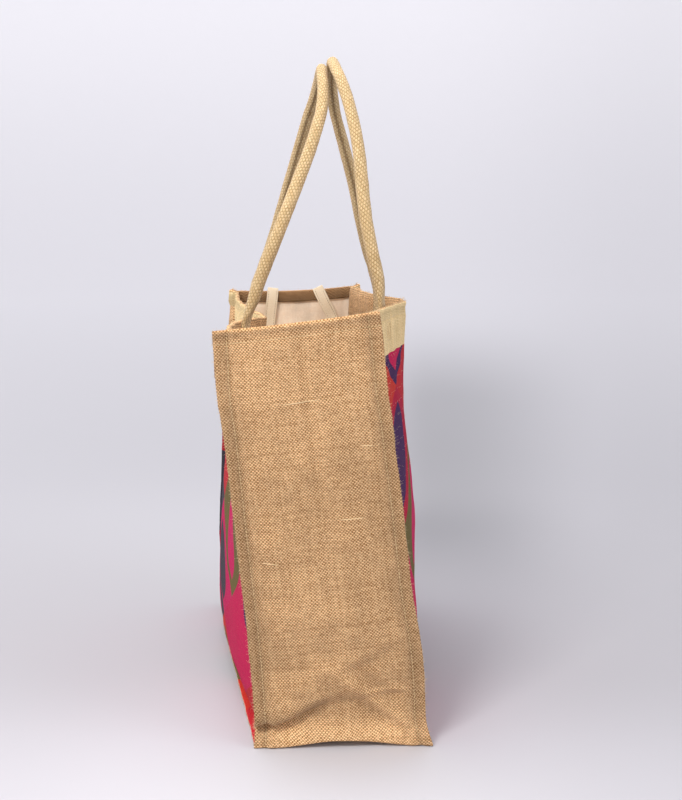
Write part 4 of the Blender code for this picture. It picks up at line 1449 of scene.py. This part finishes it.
def near_slub(x0, z0, x1, z1):
    """A thick yarn lying on the near end from one place to another."""
    path = []
    for n in range(13):
        u = n / 12
        x, z = x0 + (x1 - x0) * u, z0 + (z1 - z0) * u
        row = min(range(WALL_ROWS + 1), key=lambda m: abs(STRIP[m][HALF].z - z))
        line = STRIP[row]
        i = max(k for k in range(len(line) - 1) if line[k].x <= x)
        v = (x - line[i].x) / (line[i + 1].x - line[i].x)
        path.append(Vector((x, line[i].lerp(line[i + 1], v).y - 0.0001, z + 0.0003 * ripple(x, z, 3, 0.012))))
    return path, Vector((0, -1, 0))


def foot_lines(side, share):
    """Rows of stitches that hold a handle, seen on the outer face of the panel."""
    wide = 0.0082 / 0.405
    corners = ((-wide, 0.0340), (wide, 0.0340), (wide, 0.0150), (-wide, 0.0150), (-wide, 0.0340),
               (wide, 0.0150), (wide, 0.0340), (-wide, 0.0150))
    lines = []
    for (a, da), (b, db) in zip(corners, corners[1:]):
        line = []
        for n in range(9):
            u = n / 8
            place, run, up, inward = panel_place(side, share + a + (b - a) * u, da + (db - da) * u)
            line.append((place - inward * 0.0001, -inward))
        lines.append(line)
    return lines


def dress(piece, node):
    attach(piece, "root")
    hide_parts(node)
    return piece


# ================================================================ build

gusset, GUSSET_GRID = make_gusset([BURLAP, FILM, HEM_BURLAP_PAINTED_SHADE, HEM_BURLAP_PAINTED_SHADE, HEM_BURLAP_PAINTED_SHADE, HEM_BURLAP_PAINTED_SHADE, BURLAP, HEM_BURLAP_PAINTED_SHADE])
TOP = HEM_ROWS + ARC_ROWS
SEAM_ROWS = [n for n, (end, k) in enumerate(STRIP_INFO) if end != "base" and STRIP[n][HALF].z > 0.012]
BREAK = next(m for m in range(1, len(SEAM_ROWS)) if SEAM_ROWS[m] != SEAM_ROWS[m - 1] + 1)
seams = []
for side in ("left", "right"):
    for rows in (SEAM_ROWS[2:BREAK], SEAM_ROWS[BREAK:-2]):
        seams.append([(margin_point(n, side, 0.0), -FRAMES[n][side][1]) for n in rows])
body = GUSSET_GRID[TOP:len(GUSSET_GRID) - TOP]
seams.append([(p, Vector((0, -1, 0))) for p in body[9]])
seams.append([(p, Vector((0, 1, 0))) for p in body[-10]])
gusset_stitches = make_stitches("gusset_stitches", seams, THREAD)
inside = slice(len(MARGIN) + 1, -len(MARGIN) - 1)
hem_stitches = make_stitches("hem_stitches",
                             [[(p, Vector((0, 1, 0))) for p in GUSSET_GRID[1][inside]],
                              [(p, Vector((0, -1, 0))) for p in GUSSET_GRID[-2][inside]]], DARK_THREAD)
near_rows = [STRIP[n] for n in range(0, WALL_ROWS, 3)]
far_rows = [STRIP[-1 - n] for n in range(0, WALL_ROWS, 3)]
spots = face_spots(near_rows, Vector((0, -1, 0))) + face_spots(far_rows, Vector((0, 1, 0)))
edges = []
for n in SEAM_ROWS:
    for side in ("left", "right"):
        edges.append((margin_point(n, side, FLANGE), FRAMES[n][side][0]))
rims = [(p + Vector((0, 0, 0.0010)), Vector((0, 0, 1))) for p in body[0] + body[-1]]
gusset_fibres = make_fibres("gusset_fibres", spots + edges * 10 + rims * 12, FIBRE, 3600,
                            slubs=[near_slub(-0.0137, 0.3450, 0.0190, 0.3500),
                                   near_slub(0.0400, 0.2330, 0.0620, 0.2345),
                                   near_slub(-0.0440, 0.1900, -0.0200, 0.1880),
                                   near_slub(0.0600, 0.3050, 0.0770, 0.3060)])
for piece in (gusset, gusset_stitches, hem_stitches, gusset_fibres):
    dress(piece, "gusset")

for side in ("left", "right"):
    sign = -1.0 if side == "left" else 1.0
    panel, hem_out, hem_in = make_panel(side, [PRINT, FILM, BURLAP, BURLAP, PRINT, BURLAP])
    _, _, _, seam = PANELS[side]
    lines = [[(lip_point(n, side, 0.0012, seam[n][1]), FRAMES[n][side][1]) for n in range(3, len(STRIP) - 3)],
             hem_out]
    for share in FOOT_SHARE[side]:
        lines += foot_lines(side, share)
    stitches = make_stitches("panel_stitches_" + side, lines, THREAD)
    inner = make_stitches("panel_hem_stitches_" + side, [hem_in], DARK_THREAD)
    grid = PANELS[side][0]
    spots = face_spots([grid[j][2:-2] for j in range(14, CORNER, 4)], Vector((sign, 0, 0)))
    rims = [(p + Vector((0, 0, 0.0010)), Vector((0, 0, 1))) for p in grid[0]]
    fibres = make_fibres("panel_fibres_" + side, spots[:len(spots) // 3] * 2 + rims * 18, FIBRE, 900, 0.0028)
    for piece in (panel, stitches, inner, fibres):
        dress(piece, "panel_" + side)

    handle, sections = make_handle(side, [BRAID])
    closing = []
    for section in sections:
        centre, along, wide, deep, size, run = section
        if size[1] < 0.0054:
            continue
        way = wide if (Vector((0.0, -0.022, 0.5)) - centre).dot(wide) > 0 else -wide
        closing.append((centre + way * (size[0] - 0.0006), way))
    feet = []
    flat = [n for n, sec in enumerate(sections) if sec[4][1] < 0.0030]
    for group in (flat[:len(flat) // 2], flat[len(flat) // 2:]):
        for across in (-0.0072, 0.0072):
            feet.append([(sections[n][0] + sections[n][2] * across + sections[n][3] * (FOOT_HALF[1] - 0.0002),
                          sections[n][3]) for n in group[3:-3]])
        for pick in (5, len(group) // 3, 2 * len(group) // 3, len(group) - 6):
            sec = sections[group[pick]]
            feet.append([(sec[0] + sec[2] * (0.0084 * m / 6) + sec[3] * (FOOT_HALF[1] - 0.0001), sec[3])
                         for m in range(-6, 7)])
    sewing = make_stitches("handle_stitches_" + side, [closing] + feet, DARK_THREAD, 0.0042, 0.0031, 0.00040)
    spots = []
    for section in sections[40::2]:
        for k in range(0, 36, 5):
            spots.append(tube_shape(section, k, 36, side))
    hairs = make_fibres("handle_fibres_" + side, spots, FIBRE, 700, 0.0026)
    for piece in (handle, sewing, hairs):
        dress(piece, "handle_" + side)

    tie, line = make_tie(side, [TAPE])
    rows = []
    for across in (-0.72, 0.72):
        rows.append([(p + Vector((TIE_HALF[0] * across, -TIE_HALF[1] + 0.0004, 0)), Vector((0, -1, 0)))
                     for p in line[3:-2]])
    sewn = make_stitches("tie_stitches_" + side, rows, DARK_THREAD, 0.0031, 0.0025, 0.00026)
    for piece in (tie, sewn):
        dress(piece, "tie_" + side)

# ================================================================ stage

def paper_material():
    book = Book("studio_paper", 0.75, specular=0.2)
    split = book.node("SeparateXYZ")
    book.links.new(book.node("NewGeometry").outputs["Position"], split.inputs[0])
    high = book.range(Wire(book, split.outputs[2]), 0.0, 2.2)
    grain = book.noise(book.join(Wire(book, split.outputs[0]), Wire(book, split.outputs[1])), 700.0, 1.0)
    x, y = Wire(book, split.outputs[0]), Wire(book, split.outputs[1])
    radius = book.math("SQRT", x * x + y * y)
    close = book.math("DIVIDE", 1.0, radius + 1.2)
    away = book.range(close, 0.12, 0.50, 1.0, 0.0)
    # painted light and shadow on the paper: it is painted lighter in front of the bag and to the left, and a broad soft
    # painted shadow lies behind it to the right
    tone = book.range(y, -0.34, 0.00, 0.97, 0.83) * book.range(y, 0.0, 0.8, 1.0, 1.15) * \
        book.range(close, 0.18, 0.46, 1.10, 1.0)
    turn = (x - 0.04) / book.math("MAXIMUM", y + 1.29, 0.3)
    tone = tone * book.range(turn, 0.04, 0.28, 1.0, 0.91)
    behind = book.range(turn, 0.010, 0.078) * book.range(turn, 0.085, 0.235, 1.0, 0.0) * \
        book.range(y, 0.15, 0.65) * book.range(close, 0.19, 0.34)
    from_front = book.math("SQRT", (x - 0.04) * (x - 0.04) + (y + 0.30) * (y + 0.30))
    front = book.range(from_front, 0.03, 0.42, 1.0, 0.0)
    tone = tone * (1.0 - behind * 0.30) * (front * 0.13 + 1.0)
    # far from the bag the paper glows a little, painted light that keeps the far paper pale
    book.feed(book.shader.inputs["Emission Color"], (0.93, 0.92, 0.96, 1.0))
    book.feed(book.shader.inputs["Emission Strength"], away * tone * 0.35)
    # the paper is paler up the curved wall, painted light
    paper = book.mix(1.0, book.mix(high, (0.590, 0.580, 0.615), (0.82, 0.81, 0.835)), book.grey(tone), "MULTIPLY")
    return book.finish(paper, grain, 0.00002)


def make_floor():
    points, faces = [], []
    rings, around = 40, 96
    for r in range(rings + 1):
        u = r / rings
        if u <= 0.6:
            radius, z = 5.0 * (u / 0.6) ** 1.5 + 1e-4, 0.0
        else:
            v = (u - 0.6) / 0.4
            angle = v * math.pi / 2
            radius, z = 5.0 + 2.5 * math.sin(angle), 2.5 * (1 - math.cos(angle)) * 1.6
        for k in range(around):
            a = 2 * math.pi * k / around
            points.append((radius * math.cos(a), radius * math.sin(a), z - 0.0004))
    for r in range(rings):
        for k in range(around):
            a, b = r * around + k, r * around + (k + 1) % around
            faces.append((a, b, b + around, a + around))
    faces.append(tuple(range(around)))
    return new_object("studio_floor", points, faces, [paper_material()])


floor = make_floor()


def area_light(name, place, aim, size, power, colour):
    data = bpy.data.lights.new(name, "AREA")
    data.shape = "RECTANGLE"
    data.size, data.size_y = size
    data.energy = power
    data.color = colour
    thing = bpy.data.objects.new(name, data)
    thing.location = place
    thing.rotation_mode = "QUATERNION"
    thing.rotation_quaternion = (Vector(aim) - Vector(place)).to_track_quat("-Z", "Y")
    thing.visible_camera = False
    bpy.context.scene.collection.objects.link(thing)
    return thing


area_light("key", (-0.85, -1.55, 1.95), (0, 0, 0.2), (0.7, 0.7), 35, (1.0, 0.985, 0.955))
area_light("fill", (1.9, -1.0, 1.3), (0, 0, 0.3), (1.2, 1.2), 9, (0.97, 0.98, 1.0))
area_light("top", (-0.3, 0.3, 2.3), (0, 0, 0.3), (1.2, 1.2), 26, (1.0, 1.0, 1.0))

world = bpy.data.worlds.new("studio")
bpy.context.scene.world = world
world.use_nodes = True
world.node_tree.nodes["Background"].inputs[0].default_value = (0.95, 0.95, 1.0, 1)
world.node_tree.nodes["Background"].inputs[1].default_value = 0.52

camera = bpy.data.objects.new("camera", bpy.data.cameras.new("camera"))
bpy.context.scene.collection.objects.link(camera)
camera.data.sensor_width = 36.0
camera.data.lens = 52.65
camera.location = (0.0405, -1.29, 0.5413)
camera.rotation_euler = (math.radians(90 - 10.033), 0, 0)
bpy.context.scene.camera = camera
bpy.context.scene.view_settings.view_transform = "Standard"
